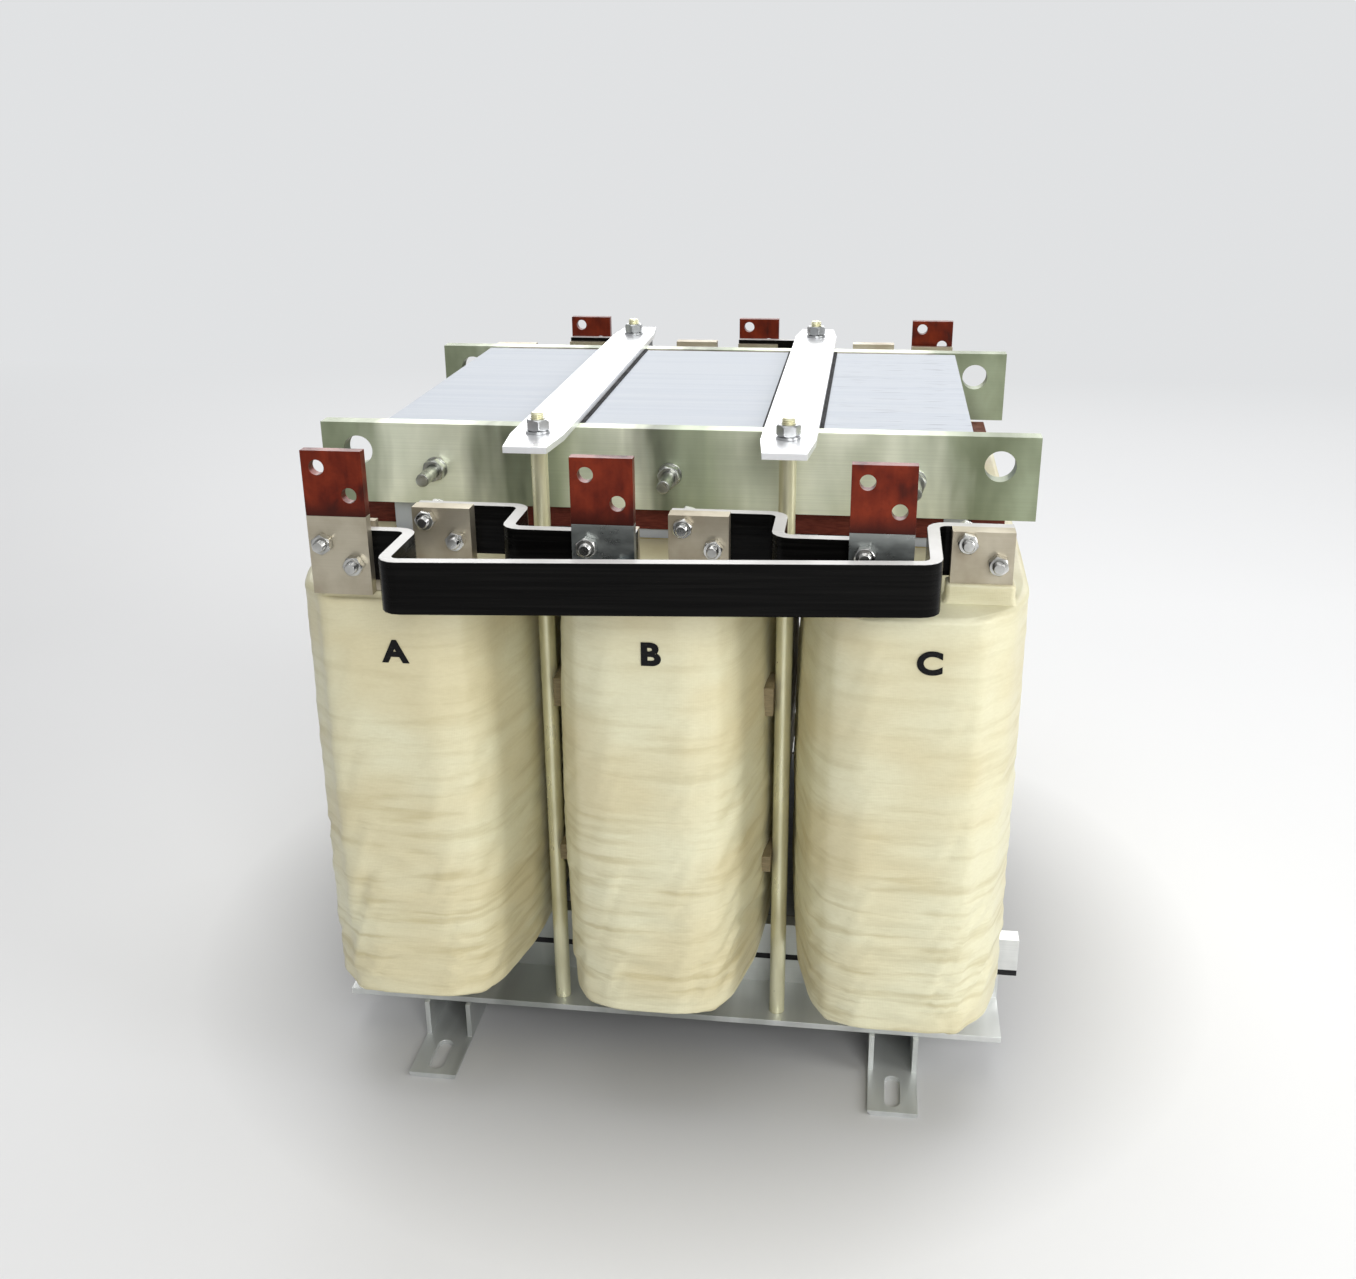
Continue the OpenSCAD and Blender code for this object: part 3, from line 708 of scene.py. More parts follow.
def pick(piece: bpy.types.Object, kind: str, wanted: Callable[[Vector, Vector], bool]) -> None:
    """Selects edges or faces by their place, from edit mode and back to it.

    Args:
        piece: The piece in edit mode.
        kind: "edges" or "faces".
        wanted: Takes the middle and the direction, or the normal, and says whether to select.
    """
    bpy.ops.mesh.select_all(action="DESELECT")
    bpy.ops.object.mode_set(mode="OBJECT")
    mesh = piece.data
    if kind == "faces":
        for face in mesh.polygons:
            face.select = wanted(face.center, face.normal)
    else:
        for edge in mesh.edges:
            a, b = (mesh.vertices[i].co for i in edge.vertices)
            edge.select = wanted((a + b) / 2, (b - a).normalized())
    bpy.ops.object.mode_set(mode="EDIT")


def pull(height: float) -> None:
    """Extrudes what is selected along Z, from edit mode."""
    bpy.ops.mesh.extrude_region_move(TRANSFORM_OT_translate={"value": (0, 0, height)})


def fix(piece: bpy.types.Object, kind: str, **settings: object) -> None:
    """Adds a modifier to a piece and applies it.

    Args:
        piece: The piece.
        kind: Kind of modifier.
        settings: Its settings.
    """
    take(piece)
    modifier = piece.modifiers.new(kind.title(), kind)
    for name, value in settings.items():
        setattr(modifier, name, value)
    bpy.ops.object.modifier_apply(modifier=modifier.name)


def smooth(piece: bpy.types.Object, angle: float = 40.0) -> None:
    """Smooth shading, apart from edges sharper than the angle, with flat faces kept flat.

    Args:
        piece: The piece.
        angle: Least angle of an edge that stays sharp, in degrees.
    """
    take(piece)
    bpy.ops.object.shade_smooth_by_angle(angle=math.radians(angle))
    fix(piece, "WEIGHTED_NORMAL", keep_sharp=True)


def settle(piece: bpy.types.Object, place: Matrix) -> bpy.types.Object:
    """Moves a piece's mesh to its place, with its object left at the origin.

    Args:
        piece: The piece.
        place: Where it goes.

    Returns:
        The same piece.
    """
    piece.data.transform(place @ piece.matrix_basis)
    piece.matrix_basis = Matrix.Identity(4)
    return piece


def twin(model: bpy.types.Object, place: Matrix) -> bpy.types.Object:
    """A copy of a model with its own mesh, set at its place.

    Args:
        model: The piece to copy.
        place: Where the copy goes.

    Returns:
        The copy.
    """
    piece = bpy.data.objects.new(model.name, model.data.copy())
    bpy.context.scene.collection.objects.link(piece)
    return settle(piece, place)


def copies(model: bpy.types.Object, places: list[Matrix], name: str) -> bpy.types.Object:
    """One piece made of a model set at each place. The model itself is used up.

    Args:
        model: The piece to copy.
        places: Where each copy goes.
        name: Name of the joined piece.

    Returns:
        The joined piece.
    """
    made = [twin(model, place) for place in places]
    bpy.data.objects.remove(model)
    return merged(made, name)


def merged(parts: list[bpy.types.Object], name: str) -> bpy.types.Object:
    """Several pieces joined into one.

    Args:
        parts: The pieces.
        name: Name of the joined piece.

    Returns:
        The joined piece.
    """
    take(parts[0])
    for part in parts[1:]:
        part.select_set(True)
    if len(parts) > 1:
        bpy.ops.object.join()
    parts[0].name = parts[0].data.name = name
    return parts[0]


def copy_of(node: str) -> bpy.types.Object:
    """A merged copy of a CAD node's mesh, with its flat faces whole again.

    Args:
        node: Name of the CAD node.

    Returns:
        The copy, at the node's place.
    """
    piece = bpy.data.objects.new(f"{node}_dressed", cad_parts[node].data.copy())
    bpy.context.scene.collection.objects.link(piece)
    with at_work(piece):
        bpy.ops.mesh.select_all(action="SELECT")
        bpy.ops.mesh.remove_doubles(threshold=2e-6)
        bpy.ops.mesh.dissolve_limited(angle_limit=math.radians(0.6))
    return piece


def eased(node: str, width: float, segments: int = 3, angle: float = 35.0) -> bpy.types.Object:
    """A copy of a CAD node with its sharp edges broken.

    Args:
        node: Name of the CAD node.
        width: Width of the broken edge.
        segments: Facets of the broken edge.
        angle: Least angle of an edge that is broken, in degrees.

    Returns:
        The piece.
    """
    piece = copy_of(node)
    fix(piece, "BEVEL", width=width, segments=segments, limit_method="ANGLE", angle_limit=math.radians(angle),
        use_clamp_overlap=True)
    smooth(piece)
    return piece


def islands(node: str) -> list[tuple[Vector, Vector]]:
    """The boxes of a CAD node's separate solids.

    Args:
        node: Name of the CAD node.

    Returns:
        Lowest and highest corner of each solid, in a fixed order.
    """
    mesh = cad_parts[node].data
    spots: dict[tuple[int, ...], int] = {}
    ids = [spots.setdefault(tuple(round(c * 1e6) for c in v.co), len(spots)) for v in mesh.vertices]
    chief = list(range(len(spots)))

    def head(i: int) -> int:
        """The chief of a point's group."""
        while chief[i] != i:
            chief[i] = chief[chief[i]]
            i = chief[i]
        return i

    for face in mesh.polygons:
        first, *others = (ids[i] for i in face.vertices)
        for other in others:
            chief[head(other)] = head(first)
    groups: dict[int, list[Vector]] = {}
    for vertex, i in zip(mesh.vertices, ids):
        groups.setdefault(head(i), []).append(vertex.co)
    boxes = [(Vector(map(min, *g)), Vector(map(max, *g))) for g in groups.values()]
    return sorted(boxes, key=lambda b: tuple(round(c, 5) for c in (*b[0], *b[1])))


def keep(piece: bpy.types.Object, material: bpy.types.Material, slot: Slot, *nodes: str) -> None:
    """Dresses a finished piece, and sets it on its body in place of its CAD nodes.

    Args:
        piece: The piece.
        material: Its finish.
        slot: The record's slot that the finish comes from; not used.
        nodes: CAD nodes that the piece stands for.
    """
    piece.data.materials.clear()
    piece.data.materials.append(material)
    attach(piece, ROOT)
    if nodes:
        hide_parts(*nodes)
    LOG.info("%s: %d faces", piece.name, len(piece.data.polygons))


def dress(node: str, material: bpy.types.Material) -> None:
    """Gives a CAD node that stays its finish.

    Args:
        node: Name of the CAD node.
        material: Its finish.
    """
    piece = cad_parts[node]
    if not piece.material_slots:
        piece.data.materials.append(material)
    for place in piece.material_slots:
        place.material = material
    LOG.info("%s keeps its CAD shape", node)


def outwards(low: Vector, high: Vector) -> tuple[Vector, int]:
    """Where a fastener's foot stands, and which way it points, from its box.

    Args:
        low: Lowest corner of its box.
        high: Its highest corner.

    Returns:
        The middle of the box's inner side, and the sign of Y that points out.
    """
    out = -1 if low.y < 0 else 1
    return Vector(((low.x + high.x) / 2, high.y if out < 0 else low.y, (low.z + high.z) / 2)), out


def upright(centre: Vector, out: float, turn: float = 0.0) -> Matrix:
    """A place whose Z points out of the front or the rear.

    Args:
        centre: The point that the model's origin goes to.
        out: Sign of Y that the model's Z takes.
        turn: Turn about the model's own Z, in degrees.

    Returns:
        The place.
    """
    lay = Matrix.Rotation(math.radians(-90 * out), 4, "X")
    return Matrix.Translation(centre) @ lay @ Matrix.Rotation(math.radians(turn), 4, "Z")


@dataclass
class Thread:
    """A round bar along Z, from start to end, with a thread cut on it from one height on."""

    radius: float
    start: float
    end: float
    cut_from: float
    pitch: float = M10_PITCH
    sides: int = 20
    chamfer: float = 0.0012
    rings_a_turn: int = 5
    groove: float = 0.6

    def build(self) -> bpy.types.Object:
        """Models the bar.

        Returns:
            The bar.
        """
        leave_alone()
        length = self.end - self.cut_from
        bpy.ops.mesh.primitive_cylinder_add(vertices=self.sides, radius=self.radius, depth=length,
                                            location=(0, 0, self.cut_from + length / 2))
        bar = settle(bpy.context.object, Matrix.Identity(4))
        with at_work(bar, "EDGE"):
            pick(bar, "edges", lambda m, d: abs(d.z) > 0.9)
            bpy.ops.mesh.subdivide(number_cuts=max(4, round(length / self.pitch * self.rings_a_turn)))
        for vertex in bar.data.vertices:
            x, y, z = vertex.co
            phase = (z / self.pitch - math.atan2(y, x) / math.tau) % 1
            depth = self.groove * self.pitch * (1 - abs(2 * phase - 1))
            near_end = max(0.0, self.chamfer - (self.end - z))
            reach = (self.radius - max(depth, near_end)) / self.radius
            vertex.co = (x * reach, y * reach, z)
        if self.start < self.cut_from:
            with at_work(bar, "FACE"):
                pick(bar, "faces", lambda c, n: n.z < -0.9 and abs(c.z - self.cut_from) < 1e-5)
                pull(self.start - self.cut_from)
                bpy.ops.mesh.bevel(offset=self.chamfer / 2, segments=1)
        smooth(bar, 50)
        return bar


@dataclass
class HexPiece:
    """A hexagon nut or bolt head along Z, with turned-off corners and, in a nut, a bore."""

    across: float
    height: float
    bore: float = 0.0
    turned: float = 1.13
    chamfer: float = 0.16

    def build(self) -> bpy.types.Object:
        """Models the hexagon, from z = 0 up to its height.

        Returns:
            The hexagon.
        """
        middle = (0, 0, self.height / 2)
        body = self._round(6, self.across / 2 / math.cos(math.pi / 6), self.height, middle, 0)
        turned = self._round(40, self.across / 2 * self.turned, self.height, middle, self.height * self.chamfer)
        self._carve(body, turned, "INTERSECT")
        if self.bore:
            self._carve(body, self._round(28, self.bore / 2, self.height * 1.5, middle, 0), "DIFFERENCE")
        fix(body, "BEVEL", width=0.0002, segments=2, limit_method="ANGLE", angle_limit=math.radians(25))
        smooth(body, 30)
        return body

    def _round(self, sides: int, radius: float, height: float, middle: Triple, ease: float) -> bpy.types.Object:
        """A prism or cylinder at its place, with its end edges eased.

        Args:
            sides: Number of sides.
            radius: Radius over its corners.
            height: Height along Z.
            middle: Middle of the prism.
            ease: Height of the chamfer at its ends.

        Returns:
            The prism.
        """
        leave_alone()
        bpy.ops.mesh.primitive_cylinder_add(vertices=sides, radius=radius, depth=height, location=middle)
        prism = settle(bpy.context.object, Matrix.Identity(4))
        if ease:
            with at_work(prism, "EDGE"):
                pick(prism, "edges", lambda m, d: abs(d.z) < 0.5)
                bpy.ops.mesh.bevel(offset=ease, segments=1)
        return prism

    def _carve(self, body: bpy.types.Object, tool: bpy.types.Object, operation: str) -> None:
        """Cuts a body with a tool, and clears the tool away.

        Args:
            body: The piece that stays.
            tool: The piece that shapes it.
            operation: INTERSECT or DIFFERENCE.
        """
        fix(body, "BOOLEAN", operation=operation, object=tool, solver="EXACT")
        bpy.data.objects.remove(tool)


@dataclass
class Washer:
    """A flat washer along Z."""

    radius: float
    bore: float
    height: float

    def build(self) -> bpy.types.Object:
        """Models the washer, from z = 0 up.

        Returns:
            The washer.
        """
        leave_alone()
        bpy.ops.mesh.primitive_cylinder_add(vertices=36, radius=self.radius, depth=self.height,
                                            location=(0, 0, self.height / 2))
        disc = settle(bpy.context.object, Matrix.Identity(4))
        with at_work(disc, "FACE"):
            pick(disc, "faces", lambda c, n: abs(n.z) > 0.9)
            bpy.ops.mesh.inset(thickness=self.radius - self.bore / 2, use_individual=True)
            bpy.ops.mesh.bridge_edge_loops()
            bpy.ops.mesh.select_all(action="SELECT")
            bpy.ops.mesh.normals_make_consistent(inside=False)
        fix(disc, "BEVEL", width=self.height * 0.2, segments=2, limit_method="ANGLE", angle_limit=math.radians(40))
        smooth(disc, 30)
        return disc


def nut_or_washer(node: str, across: float, thick: float) -> bpy.types.Object:
    """A nut or a washer of the M10 size, as its node's name says.

    Args:
        node: Name of the CAD node.
        across: Width across the nut's flats, or over the washer.
        thick: Its thickness.

    Returns:
        The piece, from z = 0 up.
    """
    if "nut" in node:
        return HexPiece(across, thick, M10_BORE).build()
    return Washer(across / 2, M10_BORE, thick).build()


@dataclass
class Coil:
    """One taped coil: a creased wrap with its lead sleeves, and its phase letter."""

    phase: Phase
    finish: bpy.types.Material
    ink: bpy.types.Material
    letter_at: Point
    draw_in: float = 0.0
    sleeves: list[tuple[Vector, Vector]] = field(default_factory=list)
    # Points round the shell and up its side, its rounded rim, and half its width
    turns: int = 380
    levels: int = 104
    edge: float = 0.0042
    half_x: float = 0.079
    # Half the window round the limb, and half the box that holds the window's wall alone
    window: Point = (0.0443, 0.1543)
    inside: Point = (0.052, 0.162)
    # Depth of the creases, which calm down round the letter on the front face
    crease: float = 0.0025
    calm_r: float = 0.035
    face_y: float = -0.29
    # Bead along the rims, with its height above the rim and its width
    bead: float = 0.0006
    bead_z: float = 0.0035
    bead_w: float = 0.0022
    # Swell at half height, and what a side towards the tie rods has on top
    swell: float = 0.0010
    inner_swell: float = 0.0034
    # Ridge at the front and rear faces' edges, with its place and its width
    fold: float = 0.0026
    fold_x: float = 0.045
    fold_w: float = 0.0062
    # Collar of tape round a lead's root: its corners, its rim and its flare at the foot
    collar_corner: float = 0.0034
    collar_rim: float = 0.0014
    flare: float = 0.0022
    letter_h: float = 0.0165
    letter_wide: float = 1.12
    # Cells by which a side of the outline is found again
    cell: float = 0.01
    low: float = field(init=False)
    high: float = field(init=False)
    middle: float = field(init=False)
    sides_near: dict[tuple[int, int], list[Point]] = field(init=False, default_factory=dict)

    @property
    def node(self) -> str:
        """Name of the CAD node that the wrap stands for."""
        return f"coil_{self.phase.name.lower()}_wrap"

    def build(self) -> None:
        """Models the wrap and the letter, and dresses both."""
        self.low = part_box(self.node)[0].z
        self.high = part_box("top_coil_blocks")[0].z
        self.middle = COIL_PITCH * self.phase.value
        outline = self._outline()
        self._sort_sides(outline)
        wrap = self._shell(outline)
        self._crease(wrap)
        parts = [wrap, *(self._sleeve(*box) for box in self.sleeves)]
        keep(merged(parts, f"{self.node}_taped"), self.finish, Slot.TAPE, self.node)
        self._letter()

    def _outline(self) -> list[Point]:
        """The tape's outline at evenly spaced points, softened at its corners.

        Returns:
            The points, anticlockwise.
        """
        hull = self._hull()
        sides = [math.dist(a, b) for a, b in zip(hull, hull[1:] + hull[:1])]
        step, points, walked, at = sum(sides) / self.turns, [], 0.0, 0
        for i in range(self.turns):
            while walked + sides[at] < i * step:
                walked += sides[at]
                at += 1
            share = (i * step - walked) / sides[at]
            a, b = hull[at], hull[(at + 1) % len(hull)]
            points.append((a[0] + (b[0] - a[0]) * share, a[1] + (b[1] - a[1]) * share))
        for _ in range(2):
            after = points[1:] + points[:1]
            points = [((a[0] + 2 * b[0] + c[0]) / 4, (a[1] + 2 * b[1] + c[1]) / 4)
                      for a, b, c in zip(points[-1:] + points[:-1], points, after)]
        return points

    def _hull(self) -> list[Point]:
        """The corners of the CAD wrap's foot, as a plain outline.

        Returns:
            The corners, anticlockwise.
        """
        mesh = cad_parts[self.node].data
        spots = sorted({(round(v.co.x, 6), round(v.co.y, 6)) for v in mesh.vertices if v.co.z < self.low + 1e-4})
        hull: list[Point] = []
        for run in (spots, spots[::-1]):
            base = len(hull)
            for spot in run:
                while len(hull) - base > 1 and self._turn(hull[-2], hull[-1], spot) <= 0:
                    hull.pop()
                hull.append(spot)
            hull.pop()
        return hull

    @staticmethod
    def _turn(a: Point, b: Point, c: Point) -> float:
        """Positive where the path through three points turns left."""
        return (b[0] - a[0]) * (c[1] - a[1]) - (b[1] - a[1]) * (c[0] - a[0])

    def _inward(self, x: float, y: float, share: float) -> Point:
        """A point of the outline moved a share of the way to the window round the limb.

        Args:
            x: Sideways place of the point.
            y: Its place from front to back.
            share: 0 on the outline, 1 at the window's edge.

        Returns:
            The moved point.
        """
        dx = x - self.middle
        reach = 1 / max(abs(dx) / self.window[0], abs(y) / self.window[1])
        scale = 1 + (reach - 1) * share
        return self.middle + dx * scale, y * scale

    def _shell(self, outline: list[Point]) -> bpy.types.Object:
        """The closed tape shell: side wall, folded ends and the wall of the window.

        Args:
            outline: The tape's outline.

        Returns:
            The shell.
        """
        leave_alone()
        bpy.ops.mesh.primitive_circle_add(vertices=self.turns, radius=0.1, fill_type="NOTHING")
        shell = bpy.context.object
        for vertex, (x, y) in zip(shell.data.vertices, outline):
            vertex.co = (x, y, self.low)
        with at_work(shell, "EDGE"):
            bpy.ops.mesh.select_all(action="SELECT")
            pull(self.high - self.low)
            for share in (0.1, 0.3, 0.6, 1.0):
                pull(0)
                self._set_chosen(shell, outline, share)
            pull(self.low - self.high)
            for share in (0.6, 0.3, 0.1, 0.0):
                pull(0)
                self._set_chosen(shell, outline, share)
            bpy.ops.mesh.select_all(action="SELECT")
            bpy.ops.mesh.remove_doubles(threshold=1e-5)
            bpy.ops.mesh.normals_make_consistent(inside=False)
            pick(shell, "edges", self._on_rim)
            bpy.ops.mesh.bevel(offset=self.edge, segments=5, clamp_overlap=False)
            pick(shell, "edges", lambda m, d: abs(d.z) > 0.99 and self._outside(m))
            bpy.ops.mesh.subdivide(number_cuts=self.levels)
        return shell

    def _set_chosen(self, shell: bpy.types.Object, outline: list[Point], share: float) -> None:
        """Sets the chosen ring of points at a share of the way inwards.

        Args:
            shell: The shell in edit mode.
            outline: The tape's outline.
            share: 0 on the outline, 1 at the window's edge.
        """
        bpy.ops.object.mode_set(mode="OBJECT")
        chosen = [v for v in shell.data.vertices if v.select]
        for vertex in chosen:
            x, y = outline[vertex.index % self.turns]
            vertex.co.x, vertex.co.y = self._inward(x, y, share)
        bpy.ops.object.mode_set(mode="EDIT")

    def _outside(self, point: Vector) -> bool:
        """Whether a point is on the outer wall and not on the wall of the window."""
        return abs(point.x - self.middle) > self.inside[0] or abs(point.y) > self.inside[1]

    def _on_rim(self, middle: Vector, direction: Vector) -> bool:
        """Whether an edge runs along the outline at the top or the bottom.

        Args:
            middle: Middle of the edge.
            direction: Its direction.

        Returns:
            True where it does.
        """
        if abs(direction.z) > 0.1 or not self._outside(middle):
            return False
        if min(abs(middle.z - self.low), abs(middle.z - self.high)) > 1e-5:
            return False
        near = self.sides_near.get((round(middle.x / self.cell), round(middle.y / self.cell)), [])
        return any(math.dist(middle.xy, spot) < 1e-4 for spot in near)

    def _sort_sides(self, outline: list[Point]) -> None:
        """Sorts the middles of the outline's sides into cells, each with its neighbours' too.

        Args:
            outline: The tape's outline.
        """
        for a, b in zip(outline, outline[1:] + outline[:1]):
            spot = ((a[0] + b[0]) / 2, (a[1] + b[1]) / 2)
            for i in (-1, 0, 1):
                for j in (-1, 0, 1):
                    key = (round(spot[0] / self.cell) + i, round(spot[1] / self.cell) + j)
                    self.sides_near.setdefault(key, []).append(spot)

    def _crease(self, shell: bpy.types.Object) -> None:
        """Pulls the wrap's surface into creases, beads and a faint barrel.

        Args:
            shell: The shell.
        """
        height = self.high - self.low
        moved = []
        for vertex in shell.data.vertices:
            co, normal = vertex.co, vertex.normal
            share = (co.z - self.low) / height
            push = self._push(co, normal, share) if self._outside(co) else 0.0
            lean = self.draw_in * max(0.0, (self.middle - co.x) / self.half_x) * max(0.0, share)
            moved.append(co + normal * push + Vector((lean, 0, 0)))
        for vertex, co in zip(shell.data.vertices, moved):
            vertex.co = co
        smooth(shell, 60)

    def _push(self, co: Vector, normal: Vector, share: float) -> float:
        """How far a point of the wrap stands out.

        Args:
            co: The point.
            normal: Its normal.
            share: Its height, from 0 at the bottom to 1 at the top.

        Returns:
            The distance, in metres.
        """
        if abs(normal.z) > 0.6:
            return 0.0005 * noise.noise(Vector((co.x * 60, co.y * 26, 4.0)))
        calm = min(1.0, math.dist((co.x, co.z), self.letter_at) / self.calm_r) if co.y < self.face_y else 1.0
        # Deepest towards the foot, and fading out at both rims
        deep = self.crease * (0.35 + 0.9 * max(0.0, 1 - share / 0.75)) * min(1.0, share / 0.05, (1 - share) / 0.05)
        from_rim = min(share, 1 - share) * (self.high - self.low)
        bead = self.bead * math.exp(-((from_rim - self.bead_z) / self.bead_w) ** 2)
        return calm * deep * self._creases(co, normal) + bead + self._barrel(co, normal, share) + self._corner(co)

    @staticmethod
    def _creases(co: Vector, normal: Vector) -> float:
        """The creases between the turns of tape, which slant round the coil.

        Args:
            co: The point.
            normal: Its normal.

        Returns:
            Their height, about 1 at the most.
        """
        # The factors are features per metre along each axis
        slant = 34.0 * normal.x * (1 if co.y < 0 else -1)
        level = co.z * 88 + slant * co.y
        band = noise.noise(Vector((co.x * 11, co.y * 9, level)))
        ridge = 1 - 2 * abs(noise.noise(Vector((co.x * 16 + 5, co.y * 13, level * 0.62 + 9))))
        ripple = noise.noise(Vector((co.x * 34, co.y * 30, level * 2.1 + 3)))
        return 0.6 * band + 0.5 * max(0.0, ridge) + 0.25 * ripple

    def _barrel(self, co: Vector, normal: Vector, share: float) -> float:
        """The swell at half height, stronger on a side that faces the tie rods.

        Args:
            co: The point.
            normal: Its normal.
            share: Its height, from 0 at the bottom to 1 at the top.

        Returns:
            The distance, in metres.
        """
        inner = (co.x - self.middle) * self.phase.value <= 0
        most = self.swell + (self.inner_swell * abs(normal.x) if inner else 0)
        return most * math.sin(math.pi * min(1.0, max(0.0, share)))

    def _corner(self, co: Vector) -> float:
        """The ridge where the front or rear face folds back into the sides, in metres."""
        if abs(co.y) <= 0.26:
            return 0.0
        wander = 0.9 + 0.25 * noise.noise(Vector((co.x * 3, co.y * 3, co.z * 14 + 31)))
        return self.fold * math.exp(-((abs(co.x - self.middle) - self.fold_x) / self.fold_w) ** 2) * wander

    def _sleeve(self, low: Vector, high: Vector) -> bpy.types.Object:
        """A collar of tape round the root of a lead.

        Args:
            low: Lowest corner of the collar's box.
            high: Its highest corner.

        Returns:
            The collar.
        """
        leave_alone()
        size, centre = high - low, (high + low) / 2
        bpy.ops.mesh.primitive_cube_add(size=1, location=centre, scale=size)
        collar = settle(bpy.context.object, Matrix.Identity(4))
        with at_work(collar, "EDGE"):
            pick(collar, "edges", lambda m, d: abs(d.z) > 0.9)
            bpy.ops.mesh.bevel(offset=self.collar_corner, segments=5)
            pick(collar, "edges", lambda m, d: abs(d.z) > 0.9)
            bpy.ops.mesh.subdivide(number_cuts=7)
            pick(collar, "edges", lambda m, d: abs(m.z - high.z) < 1e-5)
            bpy.ops.mesh.bevel(offset=self.collar_rim, segments=3)
        for vertex in collar.data.vertices:
            up = (vertex.co.z - low.z) / size.z
            side = Vector((vertex.co.x - centre.x, vertex.co.y - centre.y, 0))
            flare = self.flare * max(0.0, 1 - up / 0.45) ** 2
            fold = 0.0
            if up < 0.9:
                fold = 0.0005 * noise.noise(Vector((vertex.co.x * 40, vertex.co.y * 60, vertex.co.z * 420)))
            if side.length > 1e-6:
                vertex.co += side.normalized() * (flare + fold)
        smooth(collar, 50)
        return collar

    def _letter(self) -> None:
        """Stencils the phase letter on the coil's face."""
        leave_alone()
        bpy.ops.object.text_add()
        text = bpy.context.object
        text.data.body = self.phase.name
        text.data.align_x, text.data.align_y = "CENTER", "CENTER"
        text.data.offset = 0.032
        text.data.extrude = 0.03
        text.data.bevel_depth = 0.008
        bpy.ops.object.convert(target="MESH")
        letter = bpy.context.object
        xs, ys = [v.co.x for v in letter.data.vertices], [v.co.y for v in letter.data.vertices]
        centre = Vector(((min(xs) + max(xs)) / 2, (min(ys) + max(ys)) / 2, 0))
        tall = self.letter_h / (max(ys) - min(ys))
        face = min(v.co.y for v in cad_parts[self.node].data.vertices)
        place = Matrix.Translation((self.letter_at[0], face - 0.0007, self.letter_at[1]))
        place @= Matrix.Rotation(math.radians(90), 4, "X")
        place @= Matrix.Diagonal((tall * self.letter_wide, tall, 0.012, 1))
        settle(letter, place @ Matrix.Translation(-centre))
        letter.name = letter.data.name = f"phase_letter_{self.phase.name.lower()}"
        keep(letter, self.ink, Slot.TAPE)


@dataclass
class Core:
    """Yokes, limb blocks, gap spacers and the boards between core, coils and clamps."""

    ease: float = 0.0006

    def build(self) -> None:
        """Models the visible boards, and dresses the rest."""
        steel = CoreFinish().material("core_steel_sheets")
        glass = BoardFinish((0.42, 0.34, 0.15), (0.55, 0.46, 0.24), 0.5).material("glass_board_natural")
        red = BoardFinish((0.10, 0.018, 0.012), (0.17, 0.035, 0.022), 0.5).material("red_pressed_board")
        # The spacer board is darker than the cream tape: painted shade of the narrow gaps between the coils
        cream_in_painted_shade = BoardFinish((0.19, 0.15, 0.085), (0.27, 0.22, 0.13), 0.6).material("cream_packing_board")
        black = BoardFinish((0.010, 0.010, 0.011), (0.024, 0.024, 0.026), 0.75).material("black_insulation_sheet")
        for node in ("top_yoke", "bottom_yoke", "limb_a", "limb_b", "limb_c"):
            dress(node, steel)
        for node in ("air_gap_spacers", "coil_formers", "duct_sticks", "yoke_bolt_sleeves"):
            dress(node, glass)
        for node in ("top_coil_blocks", "bottom_coil_boards", "clamp_insulation"):
            keep(eased(node, self.ease, 2), red, Slot.RED, node)
        # Black insulation, which also stands for the dark shadow lines beside the straps and under the clamp bars
        for node in ("rail_strips", "yoke_pads", "strap_insulation"):
            keep(eased(node, self.ease / 2, 2), black, Slot.BLACK, node)
        keep(eased("coil_spacers", self.ease, 2), cream_in_painted_shade, Slot.TAPE, "coil_spacers")
        foil = MetalFinish((0.68, 0.69, 0.70), (0.50, 0.51, 0.52), grain=(0.02, 0.02, 0.0012)).material("winding_foil")
        for phase in Phase:
            dress(f"coil_{phase.name.lower()}_winding", foil)


@dataclass
class Clamps:
    """Clamp bars, base rails and feet of zinc-plated steel."""

    bar_ease: float = 0.0007
    sheet_ease: float = 0.0005
    foot_bend: float = 0.0030

    def build(self) -> None:
        """Models and dresses the clamps, rails and feet."""
        # Both zinc finishes carry painted reflection bands across the bars
        upper = ZincFinish().material("zinc_plate_yellowish")
        lower = ZincFinish(pale=(0.74, 0.76, 0.75), green=(0.36, 0.38, 0.36), dark=(0.30, 0.31, 0.30),
                           end=(0.90, 0.91, 0.90), half=0.30, roughness=0.3, metallic=0.6
                           ).material("zinc_plate_clear")
        for end in ("front", "rear"):
            for node, ease, finish in ((f"upper_clamp_{end}", self.bar_ease, upper),
                                       (f"lower_clamp_{end}", self.bar_ease, lower),
                                       (f"base_rail_{end}", self.sheet_ease, lower)):
                keep(eased(node, ease), finish, Slot.ZINC, node)
        for side in ("left", "right"):
            self._foot(f"foot_{side}", lower)

    def _foot(self, node: str, finish: bpy.types.Material) -> None:
        """A foot bent from sheet: its outer bends are round.

        Args:
            node: Name of the CAD node.
            finish: Its finish.
        """
        low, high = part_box(node)
        foot = copy_of(node)
        with at_work(foot, "EDGE"):
            pick(foot, "edges", lambda m, d: abs(d.y) > 0.99 and abs(m.z - low.z) < 1e-5
                 and min(abs(m.x - low.x), abs(m.x - high.x)) < 1e-5)
            bpy.ops.mesh.bevel(offset=self.foot_bend, segments=5)
        fix(foot, "BEVEL", width=self.sheet_ease, segments=2, limit_method="ANGLE", angle_limit=math.radians(50))
        smooth(foot)
        keep(foot, finish, Slot.ZINC, node)


